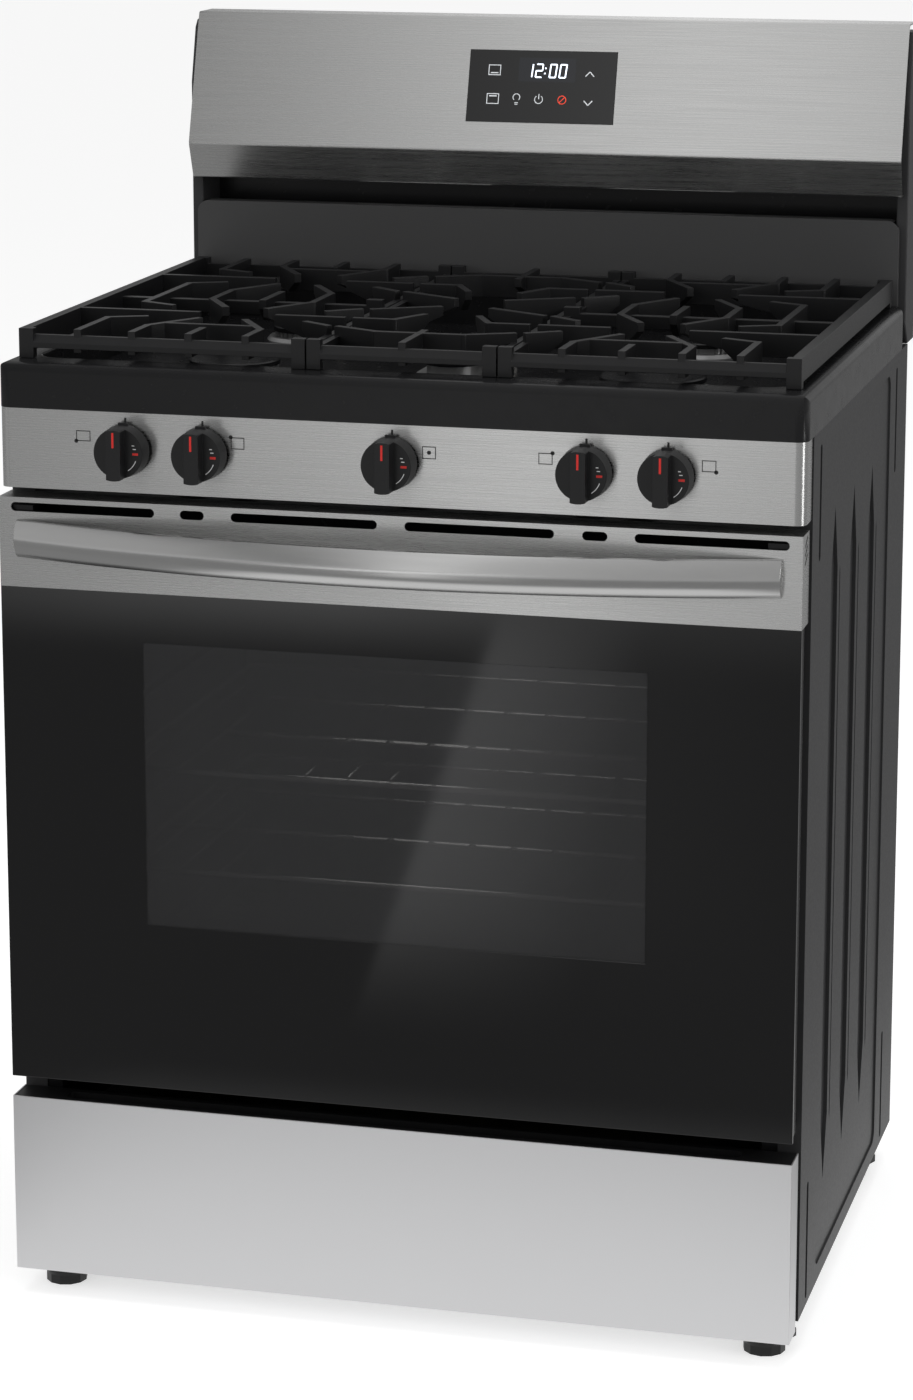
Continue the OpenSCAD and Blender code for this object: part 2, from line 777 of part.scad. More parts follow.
// Front and rear bars lie lower than the fingers and slope outwards
module end_bar(x0, x1) {
    z = grate_z - bar_drop;
    slab_x(x0, x1) polygon([
        [grate_y1 - bar_w, z], [grate_y1 - 5, z], [grate_y1, z - 7],
        [grate_y1, z - bar_h], [grate_y1 - bar_w, z - bar_h]
    ]);
}

module post(x0, x1)
    block([x0, grate_y1 - bar_w, rim_z + rest_gap], [x1, grate_y1, grate_z]);

module front_and_rear() {
    children();
    translate([0, 2 * mid_y, 0]) mirror([0, 1, 0]) children();
}

module side_grate() {
    x0 = -grate_hw;
    x1 = -seam_x - seam_gap / 2;
    front_and_rear() {
        end_bar(x0, x1);
        post(x0, x0 + 14);
        post(x1 - 13, x1);
        side_grate_half();
    }
    low = grate_z - bar_drop - bar_h;
    block([x0, grate_y0, grate_z - finger_h], [x0 + bar_w, grate_y1, grate_z]);
    block([x0, mid_y - 5, low], [x1, mid_y + 5, grate_z - bar_drop]);
    block([x1 - 7, grate_y0, low], [x1, grate_y1, low + 9]);
    block([x1 - 16, mid_y - 5, low], [x1, mid_y + 5, grate_z]);
}

module grate_left() color("#232324") in_frame() side_grate();

module grate_right() color("#232324") in_frame() mirror([1, 0, 0]) side_grate();

module grate_centre() {
    x1 = seam_x - seam_gap / 2;
    low = grate_z - bar_drop - bar_h;
    y1 = grate_y1 - 4;
    color("#232324") in_frame() front_and_rear() {
        end_bar(-x1, x1);
        finger([[0, y1], [0, mid_y + burner_dy + 58]]);
        both_sides() {
            centre_grate_quarter();
            post(x1 - 13, x1);
            block([x1 - 7, mid_y - 1, low], [x1, grate_y1, low + 9]);
        }
    }
}

// ---------------------------------------------------------------- backguard

module backguard_console() {
    w = 1.5;
    color("silver") in_frame() difference() {
        slab_x(-console_hw, console_hw) difference() {
            polygon([
                [lip_y, lip_z], [slope_y0, slope_z0], [slope_y1, guard_z],
                [guard_rear - sheet, guard_z], [guard_rear - sheet, lip_z]
            ]);
            polygon([
                [lip_y + w, lip_z + w], [slope_y0 + w + 0.1, slope_z0], [slope_y1 + w, guard_z - w],
                [guard_rear + 1, guard_z - w], [guard_rear + 1, lip_z + w]
            ]);
        }
        on_slope() block([-display_w / 2 - 0.3, -10, -display_h / 2 - 0.3],
                         [display_w / 2 + 0.3, 10, display_h / 2 + 0.3]);
        // Room for the end caps
        both_sides() block([hw - end_cap_w - 0.2, cook_y1 + 5, lip_z - 1], [hw, guard_rear, lip_z + 4]);
    }
}

// The middle of the display, on the console's sloping face
module on_slope() translate([0, display_y, display_z]) rotate([-slope_tilt, 0, 0]) children();

module control_display() {
    color("black") in_frame() on_slope() {
        block([-display_w / 2, -0.8, -display_h / 2], [display_w / 2, 2.2, display_h / 2]);
        block([-display_w / 2 + 6, 2.2, -display_h / 2 + 5], [display_w / 2 - 6, 26, display_h / 2 - 5]);
    }
}

module backguard_lower_panel() {
    color("#1d1d1f") in_frame() difference() {
        slab_y(cook_y1, cab_d - 6) {
            rect([-low_hw, cab_z1], [low_hw, low_top - 12]);
            rect([-low_hw + 12, cab_z1], [low_hw - 12, low_top]);
            for (s = [-1, 1]) translate([s * (low_hw - 12), low_top - 12]) circle(12);
        }
        block([-low_hw + 1.5, cook_y1 + 1.5, cab_z1 - 1], [low_hw - 1.5, cab_d, low_top - 1.5]);
        block([-hw, cook_y1 + 6, cab_z1 - 1], [hw, cab_d, low_top - 12]);
        block([-200, cook_y1 + 3, low_top - 5], [200, cab_d - 12, low_top + 1]);
        both_sides() block([hw - end_cap_w - 0.2, cook_y1 + 6, cab_z1 - 1], [hw, cab_d, low_top + 1]);
    }
}

module backguard_end_caps() {
    y0 = cook_y1 + 7;
    color("#4a4b4d") in_frame() both_sides() slab_x(hw - end_cap_w, hw) polygon([
        [y0 + 20, cab_z1], [y0, cab_z1 + 23], [y0, slope_z0 + 62],
        [slope_y1 - 1, guard_z - 16], [slope_y1 + 6, guard_z - 8],
        [guard_rear, guard_z - 8], [guard_rear, cab_z1]
    ]);
}

module backguard_rear_cover() {
    color("silver") in_frame() difference() {
        block([-hw + end_cap_w, guard_rear - sheet, cab_z1 + 10],
              [hw - end_cap_w, guard_rear, guard_z - 3]);
        for (x = [-250:25:250]) slab_y(guard_rear - 5, guard_rear + 5)
            rect([x - 4, guard_z - 120], [x + 4, guard_z - 60]);
    }
}

module oven_vent_duct() {
    z0 = cav_z1 + sheet;
    y0 = cook_y1 + 3;
    y1 = cab_d - 6;
    t = 1;
    color("lightgray") in_frame() difference() {
        union() {
            block([-60, cav_y1 - 50, z0], [60, y1, z0 + 30]);
            block([-60, y0, z0], [60, y1, low_top - 6]);
        }
        block([-60 + t, cav_y1 - 50 + t, z0 - 1], [60 - t, cav_y1 - 15, z0 + 30 - t]);
        block([-60 + t, cav_y1 - 50 + t, z0 + t], [60 - t, y1 - t, z0 + 30 - t]);
        block([-60 + t, y0 + t, z0 + t], [60 - t, y1 - t, low_top]);
    }
}

// ---------------------------------------------------------------- racks

module rack(level) {
    z = ledge_z0 + level * rack_pitch + rest_gap + rack_r;
    zw = z + rack_r + wire_r - 0.6;
    x1 = rack_hw - rack_r;
    n = floor(x1 / wire_pitch - 0.5);
    color("silver") in_frame() {
        for (x = [-x1, x1]) rod([x, rack_y0, z], [x, rack_y1, z], rack_r);
        for (y = [rack_y0, rack_y0 + 0.35 * (rack_y1 - rack_y0), rack_y0 + 0.68 * (rack_y1 - rack_y0), rack_y1])
            rod([-x1, y, z], [x1, y, z], rack_r);
        for (x = [-x1, x1], y = [rack_y0, rack_y1]) translate([x, y, z]) sphere(rack_r);
        for (i = [-n - 1:n]) let (x = (i + 0.5) * wire_pitch)
            rod([x, rack_y0 - 1, zw], [x, rack_y1 + 1, zw], wire_r);
    }
}

module rack_upper() rack(4);

module rack_lower() rack(2);

// ---------------------------------------------------------------- door

module door_glass() {
    color("#0b0b0c") in_frame()
        block([-door_hw, door_front, door_z0], [door_hw, door_front + glass_t, trim_z0]);
}

// Vent slots along the top of the trim, as pairs of ends on one side of the middle
trim_slots = [[13, 152], [178, 201], [226, 366]];

module door_trim() {
    color("silver") in_frame() difference() {
        block([-door_hw, door_front, trim_z0], [door_hw, door_back, door_z1]);
        block([-door_hw + sheet, door_front + sheet, trim_z0 - 1],
              [door_hw - sheet, door_back + 1, door_z1 - sheet]);
        both_sides() {
            slab_y(door_front - 1, door_front + 5)
                for (s = trim_slots) slot2(s[0] * hw / 379.5, s[1] * hw / 379.5, slot_z, slot_h);
            for (i = [0:2]) translate([door_hw - 4, door_front + 12, door_z1 - 12 - i * 8])
                rotate([35, 0, 0]) block([0, 0, -1.5], [8, 14, 1.5]);
        }
    }
}

// The bar is a slice of a wide ring with a crowned front, and its ends meet the trim
module door_handle() {
    sag = handle_out - handle_t;
    half = handle_l / 2;
    ring_r = (half * half + sag * sag) / (2 * sag);
    z1 = door_z1 - 21;
    crown = 22;
    color("silver") in_frame() {
        intersection() {
            translate([0, handle_front + ring_r, z1 - handle_h / 2]) rotate([0, 0, 180])
                rotate([0, 0, 90 - 20]) rotate_extrude(angle = 40, $fn = 360) intersection() {
                    translate([ring_r - handle_t, -handle_h / 2]) square([handle_t, handle_h]);
                    translate([ring_r - crown, 0]) circle(crown, $fn = 64);
                }
            block([-half, handle_front - 1, z1 - handle_h], [half, door_front, z1]);
        }
        both_sides() block([half - 24, door_front - 8, z1 - handle_h + 8], [half - 6, door_front, z1 - 8]);
    }
}

// Slots in the door for the hinge arms, and room for the pins
module hinge_cut() for (s = [-1, 1]) let (x = s * hinge_x, r = hinge_pin_r + 0.5) {
    block([x - hinge_arm_t / 2 - arm_slot, hinge_y - hinge_r - 1, door_z0 - 1],
          [x + hinge_arm_t / 2 + arm_slot, 0, hinge_z + hinge_r + 1.5]);
    block([x - 9.5, hinge_y - r, hinge_z - r], [x + 9.5, hinge_y + r, hinge_z + r]);
}

// Channel rails up both sides, with cross rails at the bottom and inside the trim
module door_frame() {
    y0 = door_front + glass_t;
    y1 = liner_y0;
    x1 = door_hw - 2;
    x0 = x1 - rail_w;
    z0 = door_z0 + 2;
    z1 = door_z1 - 8;
    color("#55585c") in_frame() difference() {
        union() {
            both_sides() difference() {
                block([x0, y0, z0], [x1, y1, z1]);
                block([x0 + rail_t, y0 + rail_t, z0 + rail_t], [x1 - rail_t, y1 - rail_t, z1 - rail_t]);
            }
            for (z = [z0, trim_z0 - 30, z1 - 50])
                difference() {
                    block([-x0, y0, z], [x0, y1, z + 26]);
                    block([-x0 - 1, y0 + rail_t, z + rail_t], [x0 + 1, y1 + 1, z + 26 - rail_t]);
                }
        }
        hinge_cut();
    }
}

module door_liner() {
    x1 = door_hw - 5;
    y0 = liner_y0;
    y1 = door_back - 0.2;
    z0 = door_z0 + 4;
    z1 = trim_z0 - 2;
    wx = window_w / 2 + window_lap;
    wz0 = door_z0 + window_z0 - window_lap;
    wz1 = door_z0 + window_z0 + window_h + window_lap;
    color("#3a3d42") in_frame() difference() {
        block([-x1, y0, z0], [x1, y1, z1]);
        block([-x1 + sheet, y0 - 1, z0 + sheet], [x1 - sheet, y1 - sheet, z1 - sheet]);
        slab_y(y0 - 1, y1 + 1) round_rect([-wx, wz0], [wx, wz1], 14);
        hinge_cut();
    }
}

module door_inner_glass() {
    y1 = door_back - 0.2 - sheet;
    wx = window_w / 2 + window_lap + 6;
    wz0 = door_z0 + window_z0 - window_lap - 6;
    wz1 = door_z0 + window_z0 + window_h + window_lap + 6;
    color("#8aa0a8") in_frame() block([-wx, y1 - pane_t, wz0], [wx, y1, wz1]);
}

// A pin through two cheeks in each side rail of the door
module door_hinges() {
    half = hinge_arm_t / 2 + cheek_gap;
    color("silver") in_frame() for (s = [-1, 1]) let (x = s * hinge_x) {
        rod([x - half - cheek_t, hinge_y, hinge_z], [x + half + cheek_t, hinge_y, hinge_z],
            hinge_pin_r);
        for (k = [-1, 1]) let (c = x + k * (half + cheek_t / 2))
            block([c - cheek_t / 2, door_front + glass_t + rail_t, door_z0 + 2 + rail_t],
                  [c + cheek_t / 2, liner_y0 - rail_t, hinge_z + 70]);
        // Spring housing above the pin
        block([x - half, door_front + glass_t + rail_t, hinge_z + 20],
              [x + half, liner_y0 - rail_t, hinge_z + 70]);
    }
}

// ---------------------------------------------------------------- drawer

drawer_back = -6;

module drawer_front() {
    color("lightgray") in_frame() difference() {
        block([-door_hw, door_front, drawer_lift], [door_hw, drawer_back, drawer_z1]);
        block([-door_hw + sheet, door_front + sheet, drawer_lift + sheet],
              [door_hw - sheet, drawer_back + 1, drawer_z1 + 1]);
    }
}

// Black cap with the finger groove, let into the top of the drawer front
module drawer_cap() {
    color("#151515") in_frame() difference() {
        block([-door_hw + sheet, door_front + sheet, drawer_z1 - cap_h],
              [door_hw - sheet, drawer_back, drawer_z1 - 0.5]);
        slab_z(drawer_z1 - cap_h + 3, drawer_z1 + 1)
            round_rect([-groove_hw, door_front + 9], [groove_hw, drawer_back - 7], 6);
        block([-door_hw + 8, door_front + 4, drawer_z1 - cap_h - 1],
              [-groove_hw - 4, drawer_back - 2, drawer_z1 - 4]);
        block([groove_hw + 4, door_front + 4, drawer_z1 - cap_h - 1],
              [door_hw - 8, drawer_back - 2, drawer_z1 - 4]);
    }
}

module drawer_box() {
    y0 = drawer_back;
    color("#47494c") in_frame() {
        difference() {
            block([-box_hw, y0, box_z0], [box_hw, box_y1, box_z1]);
            block([-box_hw + box_t, y0 + box_t, box_z0 + box_t], [box_hw - box_t, box_y1 - box_t, box_z1 + 1]);
        }
        // Mounting plate behind the drawer front
        block([-door_hw + 6, y0 - box_t, drawer_lift + 4], [door_hw - 6, y0, drawer_z1 - cap_h - 1]);
        // Runners that slide on the base frame
        both_sides() block([box_hw - 0.5, 16, base_z1 + rest_gap], [box_hw + 12.5, box_y1, base_z1 + 10]);
    }
}

// ---------------------------------------------------------------- feet

module foot(sx, i) {
    color("#1b1b1b") in_frame() translate([sx * foot_x, foot_y[i], 0]) {
        cylinder(r = foot_base_r, h = 9, $fn = 12);
        translate([0, 0, 9]) cylinder(r1 = foot_base_r, r2 = foot_flange_r - 8, h = 7);
        translate([0, 0, 16]) cylinder(r = foot_flange_r, h = 7, $fn = 8);
        translate([0, 0, 22]) cylinder(r = foot_stem_r, h = base_z1 - 8 - 22);
    }
}

module foot_front_left() foot(-1, 0);

module foot_front_right() foot(1, 0);

module foot_rear_left() foot(-1, 1);

module foot_rear_right() foot(1, 1);

// ---------------------------------------------------------------- knobs

module knob(k) {
    back = panel_front - knob_gap;
    r = knob_d / 2;
    stem_y = back - stem_in_knob;
    color("#18181a") in_frame() difference() {
        translate([knob_x[k], back, knob_z]) rotate([90, 0, 0]) {
            cylinder(r1 = r, r2 = r - 1, h = skirt_depth);
            intersection() {
                cylinder(r = r - 1, h = knob_depth);
                block([-grip_w / 2, -r, 0], [grip_w / 2, r + 1, knob_depth]);
            }
            block([-5, 0, 0], [5, r + 1.5, 3]);
        }
        rod([knob_x[k], back + 1, knob_z], [knob_x[k], stem_y - 4, knob_z], stem_d / 2 + shaft_fit);
    }
}

module knob_1() knob(0);

module knob_2() knob(1);

module knob_3() knob(2);

module knob_4() knob(3);

module knob_5() knob(4);

module valve_stem(k) {
    stem_y = panel_front - knob_gap - stem_in_knob;
    color("silver") in_frame()
        rod([knob_x[k], stem_y, knob_z], [knob_x[k], valve_y0 + 15, knob_z], stem_d / 2);
}

module valve_stem_1() valve_stem(0);

module valve_stem_2() valve_stem(1);

module valve_stem_3() valve_stem(2);

module valve_stem_4() valve_stem(3);

module valve_stem_5() valve_stem(4);

// ---------------------------------------------------------------- drawn parts

base_frame();
side_panel_left();
side_panel_right();
rear_panel();
front_frame();
oven_liner();
oven_floor();
oven_gasket();
bake_burner();
broil_burner();
oven_igniters();
oven_sensor();
oven_light();
insulation();
hinge_arms();
control_panel();
manifold_pipe();
valve_bodies();
burner_tubes();
gas_regulator();
cooktop();
burner_bases();
burner_caps();
burner_igniters();
backguard_console();
backguard_lower_panel();
backguard_end_caps();
backguard_rear_cover();
control_display();
oven_vent_duct();
grate_left();
grate_centre();
grate_right();
rack_upper();
rack_lower();
door_glass();
door_trim();
door_handle();
door_frame();
door_liner();
door_inner_glass();
door_hinges();
drawer_front();
drawer_box();
drawer_cap();
foot_front_left();
foot_front_right();
foot_rear_left();
foot_rear_right();
knob_1();
knob_2();
knob_3();
knob_4();
knob_5();
valve_stem_1();
valve_stem_2();
valve_stem_3();
valve_stem_4();
valve_stem_5();
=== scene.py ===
import json
import math

import bmesh
import bpy
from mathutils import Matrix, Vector


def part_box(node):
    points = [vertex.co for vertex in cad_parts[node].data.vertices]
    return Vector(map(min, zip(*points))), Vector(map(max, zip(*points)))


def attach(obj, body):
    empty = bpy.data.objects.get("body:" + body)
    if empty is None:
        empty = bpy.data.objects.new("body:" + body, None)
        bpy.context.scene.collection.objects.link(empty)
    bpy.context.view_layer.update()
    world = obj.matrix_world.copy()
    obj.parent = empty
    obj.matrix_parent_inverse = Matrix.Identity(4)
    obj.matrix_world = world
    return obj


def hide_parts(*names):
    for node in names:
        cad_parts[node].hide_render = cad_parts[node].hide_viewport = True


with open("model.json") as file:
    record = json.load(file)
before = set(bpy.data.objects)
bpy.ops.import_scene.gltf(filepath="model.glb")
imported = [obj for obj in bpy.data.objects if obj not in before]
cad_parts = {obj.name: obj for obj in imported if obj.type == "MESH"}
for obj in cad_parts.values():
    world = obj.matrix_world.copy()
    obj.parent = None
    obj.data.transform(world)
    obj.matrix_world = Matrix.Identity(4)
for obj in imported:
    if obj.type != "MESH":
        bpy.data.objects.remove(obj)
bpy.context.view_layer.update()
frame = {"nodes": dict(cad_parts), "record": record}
record = frame["record"]
nodes = frame["nodes"]
nodeSlots = {part["node"]: part["material_slot"] for part in record["subparts"]}
nodeBodies = {node: body for body, members in record["behaviour"]["bodies"].items() for node in members}


def addLink(tree, source, output, target, socket):
    tree.links.new(source.outputs[output], target.inputs[socket])


# --- shared shader groups

def grainGroup():
    # streaks or speckles on object coordinates, as one mask
    group = bpy.data.node_groups.new("grainMask", "ShaderNodeTree")
    group.interface.new_socket("Stretch", in_out="INPUT", socket_type="NodeSocketVector")
    detail = group.interface.new_socket("Detail", in_out="INPUT", socket_type="NodeSocketFloat")
    detail.default_value = 3
    group.interface.new_socket("Mask", in_out="OUTPUT", socket_type="NodeSocketFloat")
    entry = group.nodes.new("NodeGroupInput")
    leave = group.nodes.new("NodeGroupOutput")
    place = group.nodes.new("ShaderNodeTexCoord")
    mapping = group.nodes.new("ShaderNodeMapping")
    noise = group.nodes.new("ShaderNodeTexNoise")
    noise.inputs["Scale"].default_value = 1
    noise.inputs["Roughness"].default_value = 0.6
    addLink(group, place, "Object", mapping, "Vector")
    addLink(group, entry, "Stretch", mapping, "Scale")
    addLink(group, mapping, "Vector", noise, "Vector")
    addLink(group, entry, "Detail", noise, "Detail")
    addLink(group, noise, "Fac", leave, "Mask")
    return group


grainMask = grainGroup()

# base colour, roughness range, metal, grain stretch per metre, bump depth in metres, colour variation
finishes = {
    "brushed steel": {
        "base": (0.60, 0.60, 0.595), "rough": (0.23, 0.32), "metal": 1, "stretch": (9, 1300, 1300),
        "bump": 0.000008, "tint": 0.06, "aniso": 0.85
    },
    "polished handle steel": {
        "base": (0.62, 0.62, 0.615), "rough": (0.20, 0.24), "metal": 1, "stretch": (2.5, 160, 160),
        "bump": 0, "tint": 0.03
    },
    "smooth steel": {
        "base": (0.80, 0.80, 0.81), "rough": (0.40, 0.44), "metal": 1, "stretch": (60, 60, 60), "bump": 0,
        "tint": 0.01
    },
    "grey painted steel": {
        "base": (0.030, 0.030, 0.031), "rough": (0.38, 0.46), "metal": 0, "stretch": (420, 420, 420),
        "bump": 0.00001, "tint": 0.06, "specular": 0.22
    },
    "black enamel": {
        "base": (0.0075, 0.0075, 0.008), "rough": (0.24, 0.28), "metal": 0, "stretch": (60, 60, 60),
        "bump": 0, "tint": 0, "specular": 0.25
    },
    "satin black enamel": {
        "base": (0.046, 0.046, 0.0465), "rough": (0.34, 0.38), "metal": 0, "stretch": (60, 60, 60),
        "bump": 0, "tint": 0, "specular": 0.3
    },
    "oven enamel": {
        "base": (0.03, 0.032, 0.038), "rough": (0.25, 0.4), "metal": 0, "stretch": (700, 700, 700),
        "bump": 0, "tint": 0.7
    },
    "galvanised steel": {
        "base": (0.50, 0.51, 0.52), "rough": (0.38, 0.6), "metal": 1, "stretch": (90, 90, 90), "bump": 0,
        "tint": 0.16
    },
    "painted steel tray": {
        "base": (0.06, 0.06, 0.063), "rough": (0.42, 0.5), "metal": 0, "stretch": (300, 300, 300),
        "bump": 0, "tint": 0.05
    },
    "cast iron": {
        "base": (0.0065, 0.0065, 0.007), "rough": (0.34, 0.46), "metal": 0, "stretch": (900, 900, 900),
        "bump": 0.00004, "tint": 0.15, "specular": 0.38
    },
    "burner aluminium": {
        "base": (0.46, 0.46, 0.46), "rough": (0.36, 0.48), "metal": 1, "stretch": (300, 300, 300),
        "bump": 0, "tint": 0.06
    },
    "burner steel": {
        "base": (0.33, 0.33, 0.34), "rough": (0.45, 0.6), "metal": 1, "stretch": (200, 200, 200), "bump": 0,
        "tint": 0.2
    },
    "ceramic": {
        "base": (0.78, 0.76, 0.72), "rough": (0.22, 0.28), "metal": 0, "stretch": (80, 80, 80), "bump": 0,
        "tint": 0.03
    },
    "black glass": {
        "base": (0.0035, 0.0035, 0.0038), "rough": (0.045, 0.055), "metal": 0, "stretch": (8, 8, 8),
        "bump": 0, "tint": 0, "specular": 0.5
    },
    "brass": {
        "base": (0.66, 0.5, 0.24), "rough": (0.3, 0.4), "metal": 1, "stretch": (200, 200, 200), "bump": 0,
        "tint": 0.1
    },
    "regulator casting": {
        "base": (0.45, 0.46, 0.47), "rough": (0.45, 0.6), "metal": 1, "stretch": (500, 500, 500),
        "bump": 0.00004, "tint": 0.1
    },
    "nickel wire": {
        "base": (0.68, 0.67, 0.65), "rough": (0.18, 0.26), "metal": 1, "stretch": (60, 60, 60), "bump": 0,
        "tint": 0.05
    },
    "stem steel": {
        "base": (0.58, 0.58, 0.58), "rough": (0.25, 0.35), "metal": 1, "stretch": (200, 200, 200),
        "bump": 0, "tint": 0.05
    },
    "black plastic": {
        "base": (0.009, 0.009, 0.0095), "rough": (0.33, 0.42), "metal": 0, "stretch": (700, 700, 700),
        "bump": 0.00001, "tint": 0.05, "specular": 0.35
    },
    "glass fibre": {
        "base": (0.7, 0.6, 0.36), "rough": (0.85, 0.95), "metal": 0, "stretch": (220, 220, 60),
        "bump": 0.0006, "tint": 0.3
    },
    "gasket": {
        "base": (0.045, 0.045, 0.045), "rough": (0.8, 0.9), "metal": 0, "stretch": (900, 900, 300),
        "bump": 0.0003, "tint": 0.4
    },
}


def makeFinish(name, look):
    material = bpy.data.materials.new(name)
    material.use_nodes = True
    tree = material.node_tree
    shader = tree.nodes["Principled BSDF"]
    shader.inputs["Metallic"].default_value = look["metal"]
    shader.inputs["Anisotropic"].default_value = look.get("aniso", 0)
    shader.inputs["Specular IOR Level"].default_value = look.get("specular", 0.5)
    if "aniso" in look:
        across = tree.nodes.new("ShaderNodeCombineXYZ")
        across.inputs["Z"].default_value = 1
        turned = tree.nodes.new("ShaderNodeVectorTransform")
        addLink(tree, across, "Vector", turned, "Vector")
        turned.convert_from, turned.convert_to = "OBJECT", "WORLD"
        addLink(tree, turned, "Vector", shader, "Tangent")
    grain = tree.nodes.new("ShaderNodeGroup")
    grain.node_tree = grainMask
    grain.inputs["Stretch"].default_value = look["stretch"]
    spread = tree.nodes.new("ShaderNodeMapRange")
    spread.inputs["From Min"].default_value = 0.3
    spread.inputs["From Max"].default_value = 0.7
    spread.inputs["To Min"].default_value, spread.inputs["To Max"].default_value = look["rough"]
    addLink(tree, grain, "Mask", spread, "Value")
    addLink(tree, spread, "Result", shader, "Roughness")
    if look["tint"]:
        ramp = tree.nodes.new("ShaderNodeMix")
        ramp.data_type = "RGBA"
        low, high = 1 - look["tint"], 1 + look["tint"]
        ramp.inputs["A"].default_value = [c * low for c in look["base"]] + [1]
        ramp.inputs["B"].default_value = [min(c * high, 1) for c in look["base"]] + [1]
        addLink(tree, grain, "Mask", ramp, "Factor")
        tree.links.new(ramp.outputs["Result"], shader.inputs["Base Color"])
    else:
        shader.inputs["Base Color"].default_value = list(look["base"]) + [1]
    if look["bump"]:
        bump = tree.nodes.new("ShaderNodeBump")
        bump.inputs["Distance"].default_value = look["bump"]
        bump.inputs["Strength"].default_value = 1
        addLink(tree, grain, "Mask", bump, "Height")
        addLink(tree, bump, "Normal", shader, "Normal")
    return material


def makePlain(name, base, rough, glow=0, alpha=1, specular=0.5):
    material = bpy.data.materials.new(name)
    material.use_nodes = True
    shader = material.node_tree.nodes["Principled BSDF"]
    shader.inputs["Base Color"].default_value = list(base) + [1]
    shader.inputs["Roughness"].default_value = rough
    shader.inputs["Alpha"].default_value = alpha
    shader.inputs["Specular IOR Level"].default_value = specular
    if glow:
        shader.inputs["Emission Color"].default_value = list(base) + [1]
        shader.inputs["Emission Strength"].default_value = glow
    return material


materials = {name: makeFinish(name, look) for name, look in finishes.items()}
materials["clear glass"] = makePlain("clear glass", (0.8, 0.85, 0.85), 0.03, alpha=0.12)
materials["lamp glass"] = makePlain("lamp glass", (0.95, 0.93, 0.86), 0.12, alpha=0.6)
tintedGlass = makePlain("tinted oven window", (0.030, 0.030, 0.031), 0.05, alpha=0.62)
whitePrint = makePlain("white print", (0.75, 0.75, 0.76), 0.5)
blackPrint = makePlain("black print", (0.012, 0.012, 0.012), 0.5)
redPrint = makePlain("red print", (0.62, 0.02, 0.015), 0.45)
clockGlow = makePlain("lit clock digits", (0.80, 0.88, 1.0), 0.4, glow=1.6)
touchPrint = makePlain("lit touch marks", (0.62, 0.64, 0.66), 0.4, glow=0.25)
redTouch = makePlain("lit red touch mark", (0.75, 0.06, 0.03), 0.4, glow=0.35)
clockWindow = makePlain("clock window", (0.008, 0.009, 0.012), 0.1)
print("materials:", len(bpy.data.materials))

for name, node in nodes.items():
    node.data.materials.clear()
    node.data.materials.append(materials[nodeSlots[name]])


# --- meshes from the frame's nodes, with rounded edges

def newPiece(name, mesh, material, body):
    piece = bpy.data.objects.new(name, mesh)
    bpy.context.scene.collection.objects.link(piece)
    if not mesh.materials:
        mesh.materials.append(material)
    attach(piece, body)
    return piece


# distance in metres, turns between faces in degrees
rounding = {"merge": 1e-6, "flatBelow": 0.6, "hardAbove": 28, "sharpAbove": 32}


def roundEdges(node, width, segments=2, pick=None):
    # a merged copy of a node with its hard edges rounded
    work = bmesh.new()
    work.from_mesh(nodes[node].data)
    bmesh.ops.remove_doubles(work, verts=work.verts, dist=rounding["merge"])
    bmesh.ops.dissolve_limit(
        work, angle_limit=math.radians(rounding["flatBelow"]), verts=work.verts, edges=work.edges
    )
    edges = []
    for edge in work.edges:
        if len(edge.link_faces) == 2 and edge.calc_face_angle(0) > math.radians(rounding["hardAbove"]):
            if pick is None or pick(edge.verts[0].co, edge.verts[1].co):
                edges.append(edge)
    if edges:
        bmesh.ops.bevel(
            work, geom=edges, offset=width, offset_type="OFFSET", segments=segments, profile=0.5,
            affect="EDGES", clamp_overlap=True
        )
    mesh = bpy.data.meshes.new(node + ".mesh")
    work.to_mesh(mesh)
    work.free()
    mesh.shade_smooth()
    mesh.set_sharp_from_angle(angle=math.radians(rounding["sharpAbove"]))
    piece = newPiece(
        "rounded_" + node, mesh, materials[nodeSlots[node]], nodeBodies[node]
    )
    even = piece.modifiers.new("even shading", "WEIGHTED_NORMAL")
    even.keep_sharp = True
    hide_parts(node)
    return piece


# widths of the rounded edges, in metres
edgeRounding = {
    "grates": 0.0011, "frontPanels": 0.0010, "console": 0.0018, "pressings": 0.0005, "knobs": 0.0007,
    "wellRim": 0.0022, "lowerPanel": 0.0012, "endCaps": 0.0015, "handle": 0.0004
}

# where an edge has to lie to be rounded, in metres
pressingSpan = {"beyond": 0.3757, "front": -0.247, "rear": 0.309, "low": 0.037, "high": 0.868}
consoleSpan = {"length": 0.3, "rear": 0.33}
rimSpan = {"low": 0.9115, "side": 0.3565, "front": -0.2475, "rear": 0.265}
faceDepth = {"door_trim": -0.2905, "drawer_front": -0.2895, "control_panel": -0.2845}


def inPressing(a, b):
    span = pressingSpan
    return min(abs(a.x), abs(b.x)) > span["beyond"] and all(
        span["front"] < v.y < span["rear"] and span["low"] < v.z < span["high"] for v in (a, b)
    )


def onConsoleFront(a, b):
    return abs(a.x - b.x) > consoleSpan["length"] and max(a.y, b.y) < consoleSpan["rear"]


def onWellRim(a, b):
    span = rimSpan
    return min(a.z, b.z) > span["low"] and all(
        abs(v.x) < span["side"] and span["front"] < v.y < span["rear"] for v in (a, b)
    )


def onFrontFace(depth):
    return lambda a, b: max(a.y, b.y) < depth


